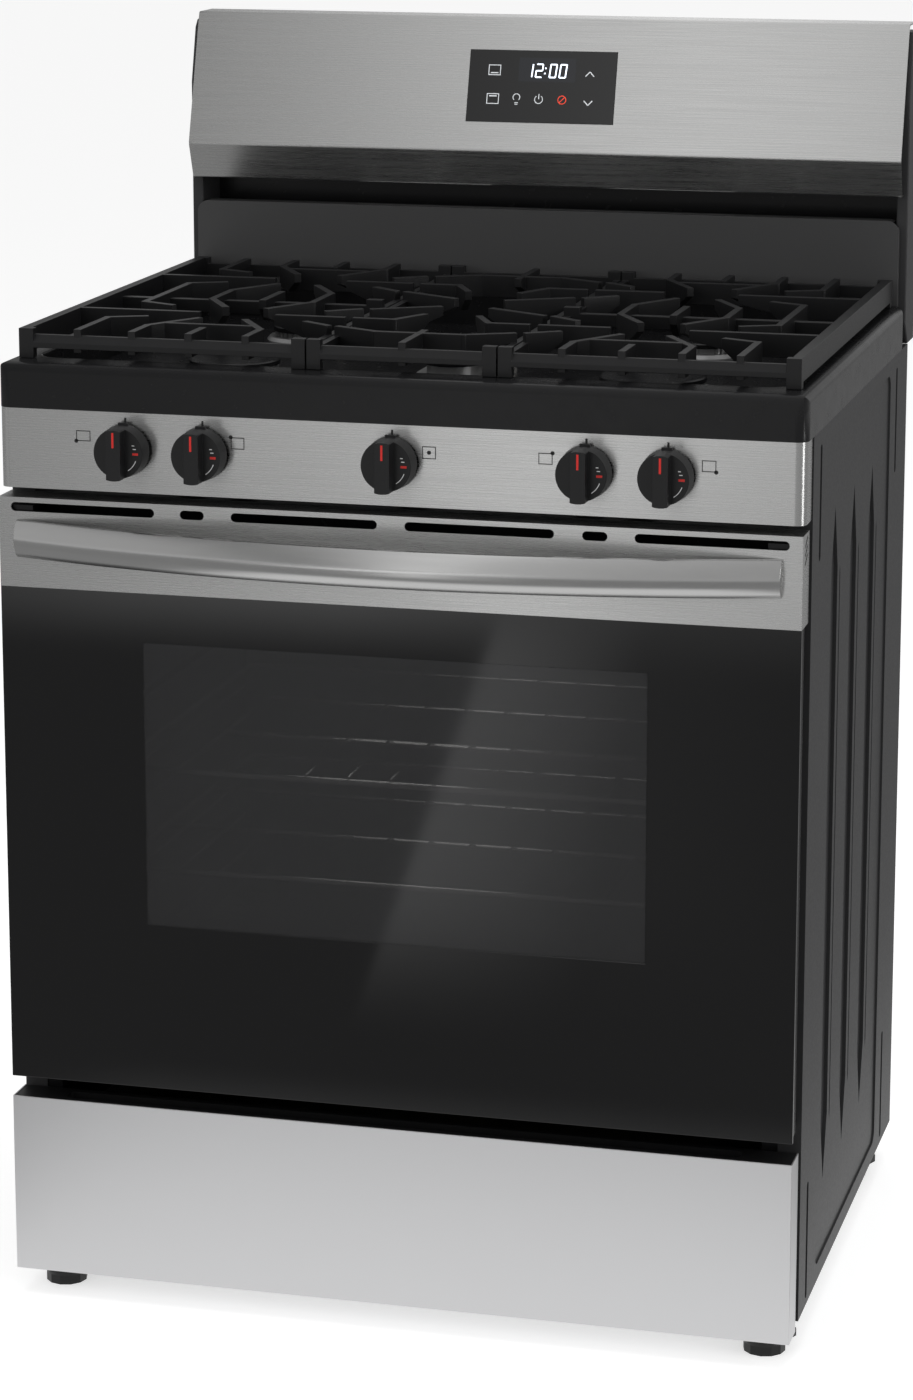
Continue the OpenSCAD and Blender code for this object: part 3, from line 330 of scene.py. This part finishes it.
for grate in ("grate_left", "grate_centre", "grate_right"):
    roundEdges(grate, edgeRounding["grates"])
for panel in ("side_panel_left", "side_panel_right"):
    roundEdges(panel, edgeRounding["pressings"], pick=inPressing)
roundEdges("backguard_console", edgeRounding["console"], segments=4, pick=onConsoleFront)
for panel, depth in faceDepth.items():
    roundEdges(panel, edgeRounding["frontPanels"], pick=onFrontFace(depth), segments=3)
roundEdges("cooktop", edgeRounding["wellRim"], segments=4, pick=onWellRim)
lowerPanel = roundEdges("backguard_lower_panel", edgeRounding["lowerPanel"], segments=3)
lowerPanel.data.materials[0] = materials["satin black enamel"]
roundEdges("backguard_end_caps", edgeRounding["endCaps"], segments=3)
for k in range(1, 6):
    roundEdges("knob_%d" % k, edgeRounding["knobs"])
handle = roundEdges("door_handle", edgeRounding["handle"], segments=1)
handle.data.materials[0] = materials["polished handle steel"]
print("rounded copies made")


# --- the door glass: a black border printed behind the pane, with a tinted window in it

window = {"left": -0.239, "right": 0.239, "low": 0.383, "high": 0.655, "setBack": 0.00002}


def boxMesh(name, boxes):
    # closed boxes, each given by its lowest and highest corner
    work = bmesh.new()
    for low, high in boxes:
        made = bmesh.ops.create_cube(work, size=1)
        for v in made["verts"]:
            v.co = Vector([low[i] + (v.co[i] + 0.5) * (high[i] - low[i]) for i in range(3)])
    bmesh.ops.recalc_face_normals(work, faces=work.faces)
    mesh = bpy.data.meshes.new(name + ".mesh")
    work.to_mesh(mesh)
    work.free()
    return mesh


def borderMesh(name, low, high, holeLow, holeHigh):
    # a plate in X and Z with a rectangular hole through Y
    outer = [(low[0], low[2]), (high[0], low[2]), (high[0], high[2]), (low[0], high[2])]
    inner = [
        (holeLow[0], holeLow[1]), (holeHigh[0], holeLow[1]), (holeHigh[0], holeHigh[1]),
        (holeLow[0], holeHigh[1])
    ]
    verts = [(x, y, z) for y in (low[1], high[1]) for ring in (outer, inner) for x, z in ring]
    faces = []
    for i in range(4):
        j = (i + 1) % 4
        faces += [
            (i, j, 4 + j, 4 + i), (8 + j, 8 + i, 12 + i, 12 + j), (j, i, 8 + i, 8 + j),
            (4 + i, 4 + j, 12 + j, 12 + i)
        ]
    mesh = bpy.data.meshes.new(name + ".mesh")
    mesh.from_pydata(verts, [], faces)
    work = bmesh.new()
    work.from_mesh(mesh)
    bmesh.ops.recalc_face_normals(work, faces=work.faces)
    work.to_mesh(mesh)
    work.free()
    return mesh


glassLow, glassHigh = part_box("door_glass")
border = newPiece(
    "door_glass_border",
    borderMesh(
        "door_glass_border", glassLow, glassHigh, (window["left"], window["low"]),
        (window["right"], window["high"])
    ),
    materials["black glass"], "door"
)
edge = border.modifiers.new("edge", "BEVEL")
edge.width, edge.segments, edge.limit_method = 0.0006, 2, "ANGLE"
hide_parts("door_glass")
pane = [
    (
        (window["left"], glassLow.y + window["setBack"], window["low"]),
        (window["right"], glassHigh.y, window["high"])
    )
]
newPiece(
    "door_glass_window", boxMesh("door_glass_window", pane), tintedGlass, "door"
)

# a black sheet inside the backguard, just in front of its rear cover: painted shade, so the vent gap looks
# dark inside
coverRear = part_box("backguard_rear_cover")[1].y
shadeSheet = {"half": 0.3722, "low": 0.90, "high": 1.185, "front": 0.0030, "rear": 0.0014}
sheet = [
    (
        (-shadeSheet["half"], coverRear - shadeSheet["front"], shadeSheet["low"]),
        (shadeSheet["half"], coverRear - shadeSheet["rear"], shadeSheet["high"])
    )
]
newPiece(
    "backguard_painted_shade_sheet", boxMesh("backguard_painted_shade_sheet", sheet), materials["black enamel"], "cabinet",
)


# --- printed marks: thin raised prisms on a plane

def prismMesh(name, outlines, toWorld, height=0.00012, depth=0.0002):
    # closed prisms from flat outlines, given in millimetres on the plane
    work = bmesh.new()
    for outline in outlines:
        low = [work.verts.new(toWorld(u / 1000, v / 1000, -depth)) for u, v in outline]
        high = [work.verts.new(toWorld(u / 1000, v / 1000, height)) for u, v in outline]
        work.faces.new(high)
        work.faces.new(list(reversed(low)))
        for i in range(len(outline)):
            j = (i + 1) % len(outline)
            work.faces.new((low[i], low[j], high[j], high[i]))
    bmesh.ops.recalc_face_normals(work, faces=work.faces)
    mesh = bpy.data.meshes.new(name + ".mesh")
    work.to_mesh(mesh)
    work.free()
    return mesh


def bar(u0, v0, u1, v1):
    return [(u0, v0), (u1, v0), (u1, v1), (u0, v1)]


def stroke(a, b, width):
    dx, dy = b[0] - a[0], b[1] - a[1]
    length = math.hypot(dx, dy)
    nx, ny = -dy / length * width / 2, dx / length * width / 2
    return [(a[0] + nx, a[1] + ny), (a[0] - nx, a[1] - ny), (b[0] - nx, b[1] - ny), (b[0] + nx, b[1] + ny)]


def disc(u, v, r, steps=20):
    return [
        (u + r * math.cos(2 * math.pi * i / steps), v + r * math.sin(2 * math.pi * i / steps))
        for i in range(steps)
    ]


def arcStrokes(u, v, r, start, end, width, steps=14):
    angles = [math.radians(start + (end - start) * i / steps) for i in range(steps + 1)]
    ring = [(u + r * math.cos(a), v + r * math.sin(a)) for a in angles]
    return [stroke(ring[i], ring[i + 1], width) for i in range(steps)]


def frameStrokes(u0, v0, u1, v1, width):
    return [
        bar(u0, v0, u1, v0 + width), bar(u0, v1 - width, u1, v1),
        bar(u0, v0 + width, u0 + width, v1 - width), bar(u1 - width, v0 + width, u1, v1 - width)
    ]


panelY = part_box("control_panel")[0].y

# the knobs' axes, in millimetres
knobX = [-254.5, -180, 0, 180, 254.5]
knobZ = 835.5


def onPanel(u, v, h):
    return Vector((u, panelY - h, v))


# burner marks beside the knobs: a square with a dot where that burner is
burnerMarks = [
    (-302.6, 841.5, -288.7, 851.5, "low left"), (-153, 840.5, -140, 851.5, "high left"),
    (28, 840, 41, 851.5, "middle"), (136, 840, 149, 850.5, "high right"),
    (285, 840, 298, 850.5, "low right")
]
marks = []
for u0, v0, u1, v1, where in burnerMarks:
    marks += frameStrokes(u0, v0, u1, v1, 0.8)
    u = u0 if "left" in where else u1 if "right" in where else (u0 + u1) / 2
    v = v1 if "high" in where else v0 if "low" in where else (v0 + v1) / 2
    marks.append(disc(u, v, 1.9))
marks += [bar(x - 1, 858.8, x + 1, 865.3) for x in knobX]
newPiece("panel_marks", prismMesh("panel_marks", marks, onPanel), blackPrint, "cabinet")

# pointer and dial marks on each knob
knob = {"skirtFront": 18, "gripFront": 32}
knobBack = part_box("knob_1")[1].y
for k, x in enumerate(knobX, 1):
    def onGrip(u, v, h, x=x):
        return Vector((x / 1000 + u, knobBack - knob["gripFront"] / 1000 - h, knobZ / 1000 + v))

    def onSkirt(u, v, h, x=x):
        return Vector((x / 1000 + u, knobBack - knob["skirtFront"] / 1000 - h, knobZ / 1000 + v))

    newPiece(
        "knob_%d_pointer" % k,
        prismMesh("knob_%d_pointer" % k, [bar(-1.0, 7.5, 1.0, 21.5)], onGrip, height=0.0002, depth=0.001),
        redPrint, "knob_%d" % k
    )
    redOnes = [bar(14, -1.1, 19.5, 1.1)]
    whiteOnes = arcStrokes(0, 0, 18.2, -58, -20, 0.7) + [
        bar(14.5, 4.2, 17.5, 5.0), bar(13.5, 7.4, 16.0, 8.2)
    ]
    newPiece(
        "knob_%d_red_mark" % k, prismMesh("knob_%d_red_mark" % k, redOnes, onSkirt), redPrint,
        "knob_%d" % k
    )
    newPiece(
        "knob_%d_scale" % k, prismMesh("knob_%d_scale" % k, whiteOnes, onSkirt), whitePrint, "knob_%d" % k
    )

# the display on the sloping console
display = {"y": 0.28839, "z": 1.125, "tilt": math.atan2(41, 134), "proud": 0.0008}


def onDisplay(u, v, h):
    t = display["tilt"]
    h += display["proud"]
    return Vector(
        (
            u, display["y"] + v * math.sin(t) - h * math.cos(t),
            display["z"] + v * math.cos(t) + h * math.sin(t)
        )
    )


segmentMap = {"0": "abcdef", "1": "bc", "2": "abged"}


def digitStrokes(text, u, v, width=6.4, height=13.5, line=1.35, step=10.4):
    # seven-segment figures, leaning slightly
    ends = {
        "a": ((0, 1), (1, 1)), "b": ((1, 1), (1, 0.5)), "c": ((1, 0.5), (1, 0)), "d": ((0, 0), (1, 0)),
        "e": ((0, 0), (0, 0.5)), "f": ((0, 0.5), (0, 1)), "g": ((0, 0.5), (1, 0.5))
    }
    shapes = []
    for letter in text:
        if letter == ":":
            shapes += [disc(u - 1.2 + 0.6, v + 4, 0.9, 10), disc(u - 1.2 + 1.2, v + 9.4, 0.9, 10)]
            u += 4.2
            continue
        for key in segmentMap[letter]:
            (ax, ay), (bx, by) = ends[key]
            shapes.append(
                stroke(
                    (u + ax * width + ay * 1.2, v + ay * height),
                    (u + bx * width + by * 1.2, v + by * height), line
                )
            )
        u += step
    return shapes


newPiece(
    "clock_window", prismMesh("clock_window", [bar(-25, 5, 35, 30)], onDisplay, height=0.00006),
    clockWindow, "cabinet"
)
newPiece(
    "clock_digits", prismMesh("clock_digits", digitStrokes("12:00", -17.5, 9.8), onDisplay, height=0.00014),
    clockGlow, "cabinet"
)
touchMarks = frameStrokes(-57, 11, -44, 22, 0.8) + [bar(-54.5, 13, -46.5, 14.1)]
touchMarks += frameStrokes(-57, -19, -44, -8, 0.8) + [bar(-54.5, -11.2, -46.5, -10.1)]
touchMarks += arcStrokes(-25.5, -11.5, 3.6, -50, 230, 0.8) + [
    bar(-27.4, -17.6, -23.6, -16.8), bar(-27, -19.2, -24, -18.4)
]
touchMarks += arcStrokes(-2, -13.4, 4.2, -235, 55, 0.8) + [bar(-2.4, -13, -1.6, -7.6)]
touchMarks += [
    stroke((45.5, 11.5), (50, 16.5), 1.0), stroke((50, 16.5), (54.5, 11.5), 1.0),
    stroke((45.5, -13.5), (50, -18.5), 1.0), stroke((50, -18.5), (54.5, -13.5), 1.0)
]
newPiece(
    "touch_marks", prismMesh("touch_marks", touchMarks, onDisplay, height=0.00014), touchPrint, "cabinet"
)
offMark = arcStrokes(22.5, -13.4, 4.2, 0, 360, 0.9, 20) + [stroke((19.9, -16), (25.1, -10.8), 0.9)]
newPiece("off_mark", prismMesh("off_mark", offMark, onDisplay, height=0.00014), redTouch, "cabinet")
print("printed marks made")


# --- repeated parts from node trees

def newTree(name, sockets):
    tree = bpy.data.node_groups.new(name, "GeometryNodeTree")
    tree.interface.new_socket("Geometry", in_out="INPUT", socket_type="NodeSocketGeometry")
    tree.interface.new_socket("Geometry", in_out="OUTPUT", socket_type="NodeSocketGeometry")
    for label, kind, value in sockets:
        socket = tree.interface.new_socket(label, in_out="INPUT", socket_type=kind)
        if value is not None:
            socket.default_value = value
    return tree


def ringTree():
    # blocks standing round a circle, each turned to face outwards
    tree = newTree(
        "teethRound",
        [
            ("Count", "NodeSocketInt", 36), ("Radius", "NodeSocketFloat", 0.05),
            ("Block", "NodeSocketVector", (0.006, 0.002, 0.003)), ("Centre", "NodeSocketVector", (0, 0, 0)),
            ("Finish", "NodeSocketMaterial", None)
        ]
    )
    entry, leave = tree.nodes.new("NodeGroupInput"), tree.nodes.new("NodeGroupOutput")
    circle = tree.nodes.new("GeometryNodeMeshCircle")
    block = tree.nodes.new("GeometryNodeMeshCube")
    index = tree.nodes.new("GeometryNodeInputIndex")
    share = tree.nodes.new("ShaderNodeMath")
    share.operation = "DIVIDE"
    turn = tree.nodes.new("ShaderNodeMath")
    turn.operation = "MULTIPLY"
    turn.inputs[1].default_value = 2 * math.pi
    rotation = tree.nodes.new("ShaderNodeCombineXYZ")
    scatter = tree.nodes.new("GeometryNodeInstanceOnPoints")
    real = tree.nodes.new("GeometryNodeRealizeInstances")
    move = tree.nodes.new("GeometryNodeTransform")
    paint = tree.nodes.new("GeometryNodeSetMaterial")
    addLink(tree, entry, "Count", circle, "Vertices")
    addLink(tree, entry, "Radius", circle, "Radius")
    addLink(tree, entry, "Block", block, "Size")
    tree.links.new(index.outputs[0], share.inputs[0])
    tree.links.new(entry.outputs["Count"], share.inputs[1])
    tree.links.new(share.outputs[0], turn.inputs[0])
    tree.links.new(turn.outputs[0], rotation.inputs["Z"])
    addLink(tree, circle, "Mesh", scatter, "Points")
    addLink(tree, block, "Mesh", scatter, "Instance")
    addLink(tree, rotation, "Vector", scatter, "Rotation")
    addLink(tree, scatter, "Instances", move, "Geometry")
    addLink(tree, entry, "Centre", move, "Translation")
    addLink(tree, move, "Geometry", real, "Geometry")
    addLink(tree, real, "Geometry", paint, "Geometry")
    addLink(tree, entry, "Finish", paint, "Material")
    addLink(tree, paint, "Geometry", leave, "Geometry")
    return tree


def rowTree():
    # pan-head screws at even steps along a line, facing the rear
    tree = newTree(
        "screwRow",
        [
            ("Count", "NodeSocketInt", 6), ("Start", "NodeSocketVector", (0, 0, 0)),
            ("Step", "NodeSocketVector", (0, 0, 0.1)), ("Head radius", "NodeSocketFloat", 0.004),
            ("Head height", "NodeSocketFloat", 0.0022), ("Finish", "NodeSocketMaterial", None)
        ]
    )
    entry, leave = tree.nodes.new("NodeGroupInput"), tree.nodes.new("NodeGroupOutput")
    line = tree.nodes.new("GeometryNodeMeshLine")
    head = tree.nodes.new("GeometryNodeMeshCone")
    head.inputs["Vertices"].default_value = 16
    taper = tree.nodes.new("ShaderNodeMath")
    taper.operation = "MULTIPLY"
    taper.inputs[1].default_value = 0.7
    scatter = tree.nodes.new("GeometryNodeInstanceOnPoints")
    scatter.inputs["Rotation"].default_value = (-math.pi / 2, 0, 0)
    real = tree.nodes.new("GeometryNodeRealizeInstances")
    paint = tree.nodes.new("GeometryNodeSetMaterial")
    addLink(tree, entry, "Count", line, "Count")
    addLink(tree, entry, "Start", line, "Start Location")
    addLink(tree, entry, "Step", line, "Offset")
    addLink(tree, entry, "Head radius", head, "Radius Bottom")
    tree.links.new(entry.outputs["Head radius"], taper.inputs[0])
    tree.links.new(taper.outputs[0], head.inputs["Radius Top"])
    addLink(tree, entry, "Head height", head, "Depth")
    addLink(tree, line, "Mesh", scatter, "Points")
    addLink(tree, head, "Mesh", scatter, "Instance")
    addLink(tree, scatter, "Instances", real, "Geometry")
    addLink(tree, real, "Geometry", paint, "Geometry")
    addLink(tree, entry, "Finish", paint, "Material")
    addLink(tree, paint, "Geometry", leave, "Geometry")
    return tree


def growMeshes(name, tree, settings):
    # runs a node tree once per group of settings and returns one plain mesh
    identifiers = {
        item.name: item.identifier for item in tree.interface.items_tree if item.in_out == "INPUT"
    }
    work = bmesh.new()
    finish = settings[0]["Finish"]
    for i, values in enumerate(settings):
        holder = bpy.data.objects.new(
            "%s_holder_%d" % (name, i), bpy.data.meshes.new("%s_empty_%d" % (name, i))
        )
        bpy.context.scene.collection.objects.link(holder)
        grow = holder.modifiers.new("grow", "NODES")
        grow.node_group = tree
        for label, value in values.items():
            grow[identifiers[label]] = value
        bpy.context.view_layer.update()
        made = bpy.data.meshes.new_from_object(holder.evaluated_get(bpy.context.evaluated_depsgraph_get()))
        work.from_mesh(made)
        bpy.data.objects.remove(holder)
        bpy.data.meshes.remove(made)
    mesh = bpy.data.meshes.new(name + ".mesh")
    work.to_mesh(mesh)
    work.free()
    mesh.materials.append(finish)
    return mesh


# the four round burners: the cap's centre, radius and top over the well
burners = [
    {"x": -0.204, "y": -0.1125, "radius": 0.0435, "top": 0.017},
    {"x": 0.204, "y": -0.1125, "radius": 0.050, "top": 0.017},
    {"x": -0.204, "y": 0.1315, "radius": 0.035, "top": 0.014},
    {"x": 0.204, "y": 0.1315, "radius": 0.030, "top": 0.014}
]
tooth = {"perMetre": 900, "inset": 0.0035, "along": 0.0045, "across": 0.0026, "lift": 0.0003}
wellZ, burnerFoot, capThickness = 0.880, 0.0035, 0.005
teeth = ringTree()
settings = []
for burner in burners:
    height = burner["top"] - capThickness - burnerFoot
    settings.append(
        {
            "Count": int(burner["radius"] * tooth["perMetre"]),
            "Radius": burner["radius"] - tooth["inset"],
            "Block": (tooth["along"], tooth["across"], height),
            "Centre": (burner["x"], burner["y"], wellZ + burnerFoot + height / 2 + tooth["lift"]),
            "Finish": materials["burner aluminium"]
        }
    )
newPiece(
    "burner_teeth", growMeshes("burner_teeth", teeth, settings), materials["burner aluminium"], "cabinet",
)

screws = rowTree()
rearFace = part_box("side_panel_left")[1].y
screw = {"count": 7, "side": 0.366, "lowest": 0.10, "pitch": 0.12, "radius": 0.004, "height": 0.0022}
settings = [
    {
        "Count": screw["count"], "Start": (
            x, rearFace, screw["lowest"]
        ), "Step": (0.0, 0.0, screw["pitch"]),
        "Head radius": screw["radius"], "Head height": screw["height"], "Finish": materials["stem steel"]
    }
    for x in (-screw["side"], screw["side"])
]
newPiece(
    "rear_screws", growMeshes("rear_screws", screws, settings), materials["stem steel"], "cabinet",
)
print("repeated parts made")


# --- stage

def stagePlane(name, size, location, rotation, material):
    bpy.ops.mesh.primitive_plane_add(size=1, location=location, rotation=rotation)
    plane = bpy.context.object
    plane.name = name
    plane.scale = (size[0], size[1], 1)
    plane.data.materials.append(material)
    return plane


def setRamp(node, stops):
    while len(node.color_ramp.elements) < len(stops):
        node.color_ramp.elements.new(0.5)
    for element, (place, value) in zip(node.color_ramp.elements, stops):
        element.position = place
    for element, (place, value) in zip(node.color_ramp.elements, stops):
        element.color = (value, value, value, 1)


def mixFloats(tree, factor, low, high):
    # low and high are values or output sockets
    node = tree.nodes.new("ShaderNodeMix")
    tree.links.new(factor, node.inputs["Factor"])
    for socket, value in (("A", low), ("B", high)):
        if isinstance(value, (int, float)):
            node.inputs[socket].default_value = value
        else:
            tree.links.new(value, node.inputs[socket])
    return node.outputs["Result"]


def spanOf(tree, source, low, high, smooth=True):
    # 0 below low, 1 above high
    node = tree.nodes.new("ShaderNodeMapRange")
    node.inputs["From Min"].default_value, node.inputs["From Max"].default_value = low, high
    node.interpolation_type = "SMOOTHSTEP" if smooth else "LINEAR"
    tree.links.new(source, node.inputs["Value"])
    return node.outputs["Result"]


# how bright the floor looks in glossy surfaces; edges and spans are in metres from the object
sweep = {
    "near": 0.80, "nearEdge": (0.75, 1.0), "beside": 0.28, "besideEdge": (0.42, 0.6), "farEdge": (2.9, 3.5),
    "slant": 0.168, "cardStart": -0.292, "cardAhead": 1.15, "cardFade": (1.1, 1.9), "cardSpan": (-0.4, 0.6),
    "card": [(0.0, 0.26), (0.395, 0.28), (0.405, 1.30), (0.50, 1.0), (0.66, 0.35), (1.0, 0.25)],
    "farSpan": (-3.4, 0.2),
    "far": [
        (0.0, 0.55), (0.19, 0.50), (0.30, 0.12), (0.36, 0.20), (0.45, 0.66), (0.58, 1.25), (0.69, 1.40),
        (0.84, 0.58), (1.0, 0.45)
    ],
}
floorPaint = makePlain("pale floor", (0.62, 0.62, 0.62), 0.8, specular=0)
floorTree = floorPaint.node_tree
floorPath = floorTree.nodes.new("ShaderNodeLightPath")
floorShader = floorTree.nodes["Principled BSDF"]
floorShader.inputs["Emission Color"].default_value = (0.62, 0.62, 0.62, 1)
addLink(floorTree, floorPath, "Is Camera Ray", floorShader, "Emission Strength")
floorPlace = floorTree.nodes.new("ShaderNodeTexCoord")
metres = floorTree.nodes.new("ShaderNodeMapping")
metres.inputs["Scale"].default_value = (60, -60, 1)
floorAxes = floorTree.nodes.new("ShaderNodeSeparateXYZ")
addLink(floorTree, floorPlace, "Object", metres, "Vector")
addLink(floorTree, metres, "Vector", floorAxes, "Vector")
ahead = floorAxes.outputs["Y"]
slant = floorTree.nodes.new("ShaderNodeMath")
slant.operation = "MULTIPLY_ADD"
slant.inputs[1].default_value = sweep["slant"]
floorTree.links.new(ahead, slant.inputs[0])
floorTree.links.new(floorAxes.outputs["X"], slant.inputs[2])
card = floorTree.nodes.new("ShaderNodeValToRGB")
setRamp(card, sweep["card"])
cardLow, cardHigh = sweep["cardSpan"]
shift = sweep["cardStart"] + sweep["slant"] * sweep["cardAhead"]
floorTree.links.new(
    spanOf(floorTree, slant.outputs[0], shift + cardLow, shift + cardHigh, smooth=False),
    card.inputs["Fac"]
)
distance = floorTree.nodes.new("ShaderNodeValToRGB")
setRamp(distance, sweep["far"])
floorTree.links.new(
    spanOf(floorTree, floorAxes.outputs["X"], *sweep["farSpan"], smooth=False), distance.inputs["Fac"]
)
strip = mixFloats(
    floorTree, spanOf(floorTree, ahead, *sweep["cardFade"]), sweep["card"][0][1], card.outputs["Color"]
)
beyond = mixFloats(floorTree, spanOf(floorTree, ahead, *sweep["farEdge"]), strip, distance.outputs["Color"])
aside = floorTree.nodes.new("ShaderNodeMath")
aside.operation = "ABSOLUTE"
floorTree.links.new(floorAxes.outputs["X"], aside.inputs[0])
close = mixFloats(
    floorTree, spanOf(floorTree, aside.outputs[0], *sweep["besideEdge"]), sweep["near"], sweep["beside"]
)
mirrored = mixFloats(floorTree, spanOf(floorTree, ahead, *sweep["nearEdge"]), close, beyond)
glow = floorTree.nodes.new("ShaderNodeEmission")
floorTree.links.new(mirrored, glow.inputs["Strength"])
either = floorTree.nodes.new("ShaderNodeMixShader")
addLink(floorTree, floorPath, "Is Glossy Ray", either, "Fac")
floorTree.links.new(floorShader.outputs["BSDF"], either.inputs[1])
floorTree.links.new(glow.outputs["Emission"], either.inputs[2])
addLink(floorTree, either, "Shader", floorTree.nodes["Material Output"], "Surface")
stagePlane("floor", (60, 60), (0, 0, 0), (0, 0, 0), floorPaint)


def areaLight(name, power, size, location, target, reflected):
    data = bpy.data.lights.new(name, "AREA")
    data.shape = "RECTANGLE"
    data.size, data.size_y = size
    data.energy = power
    light = bpy.data.objects.new(name, data)
    light.location = location
    light.visible_camera = False
    light.visible_glossy = reflected
    light.rotation_euler = (Vector(target) - Vector(location)).to_track_quat("-Z", "Y").to_euler()
    bpy.context.scene.collection.objects.link(light)
    return light


lighting = {
    "overhead": {
        "power": 55, "size": (3.0, 2.2), "location": (0.2, -0.2, 3.4), "target": (0, 0, 0.6),
        "reflected": False
    },
    "left key": {
        "power": 45, "size": (1.4, 2.4), "location": (-3.0, -3.2, 1.9), "target": (0, 0, 0.6),
        "reflected": False
    },
    "right fill": {
        "power": 42, "size": (1.2, 2.2), "location": (3.6, -0.8, 1.6), "target": (0, 0, 0.5),
        "reflected": True
    },
}
for name, value in lighting.items():
    areaLight(name, value["power"], value["size"], value["location"], value["target"], value["reflected"])

lamp = bpy.data.lights.new("oven glow", "POINT")
lamp.energy, lamp.shadow_soft_size = 0.6, 0.12
lampObject = bpy.data.objects.new("oven glow", lamp)
lampObject.location = (-0.06, -0.16, 0.62)
bpy.context.scene.collection.objects.link(lampObject)

# the studio's walls: white to the eye, with a graded brightness from left to right in reflections
studio = {
    "seen": 1.0, "soft": 0.5,
    "walls": [
        (0.0, 0.50), (0.22, 0.45), (0.30, 0.20), (0.335, 0.20), (0.37, 0.66), (0.405, 1.20), (0.44, 0.55),
        (0.60, 0.42), (1.0, 0.35)
    ]
}
world = bpy.data.worlds.new("pale studio")
bpy.context.scene.world = world
world.use_nodes = True
worldTree = world.node_tree
background = worldTree.nodes["Background"]
background.inputs["Color"].default_value = (1, 1, 1, 1)
lightPath = worldTree.nodes.new("ShaderNodeLightPath")
direction = worldTree.nodes.new("ShaderNodeTexCoord")
axes = worldTree.nodes.new("ShaderNodeSeparateXYZ")
across = worldTree.nodes.new("ShaderNodeMapRange")
across.inputs["From Min"].default_value = -1
walls = worldTree.nodes.new("ShaderNodeValToRGB")
setRamp(walls, studio["walls"])
gloss = worldTree.nodes.new("ShaderNodeMix")
gloss.inputs["A"].default_value = studio["soft"]
seen = worldTree.nodes.new("ShaderNodeMix")
seen.inputs["B"].default_value = studio["seen"]
addLink(worldTree, direction, "Generated", axes, "Vector")
addLink(worldTree, axes, "X", across, "Value")
addLink(worldTree, across, "Result", walls, "Fac")
addLink(worldTree, lightPath, "Is Glossy Ray", gloss, "Factor")
addLink(worldTree, walls, "Color", gloss, "B")
addLink(worldTree, lightPath, "Is Camera Ray", seen, "Factor")
addLink(worldTree, gloss, "Result", seen, "A")
addLink(worldTree, seen, "Result", background, "Strength")
bpy.context.scene.view_settings.view_transform = "Standard"

camera = {"location": (0.957, -3.709, 1.487), "yaw": 14.68, "pitch": 11.79, "lens": 102.7, "shift": -0.10}
cameraData = bpy.data.cameras.new("camera")
cameraData.sensor_width = 36
cameraData.lens = camera["lens"]
cameraData.shift_y = camera["shift"]
cameraObject = bpy.data.objects.new("camera", cameraData)
cameraObject.location = camera["location"]
cameraObject.rotation_euler = (math.radians(90 - camera["pitch"]), 0, math.radians(camera["yaw"]))
bpy.context.scene.collection.objects.link(cameraObject)
bpy.context.scene.camera = cameraObject
print("stage ready")
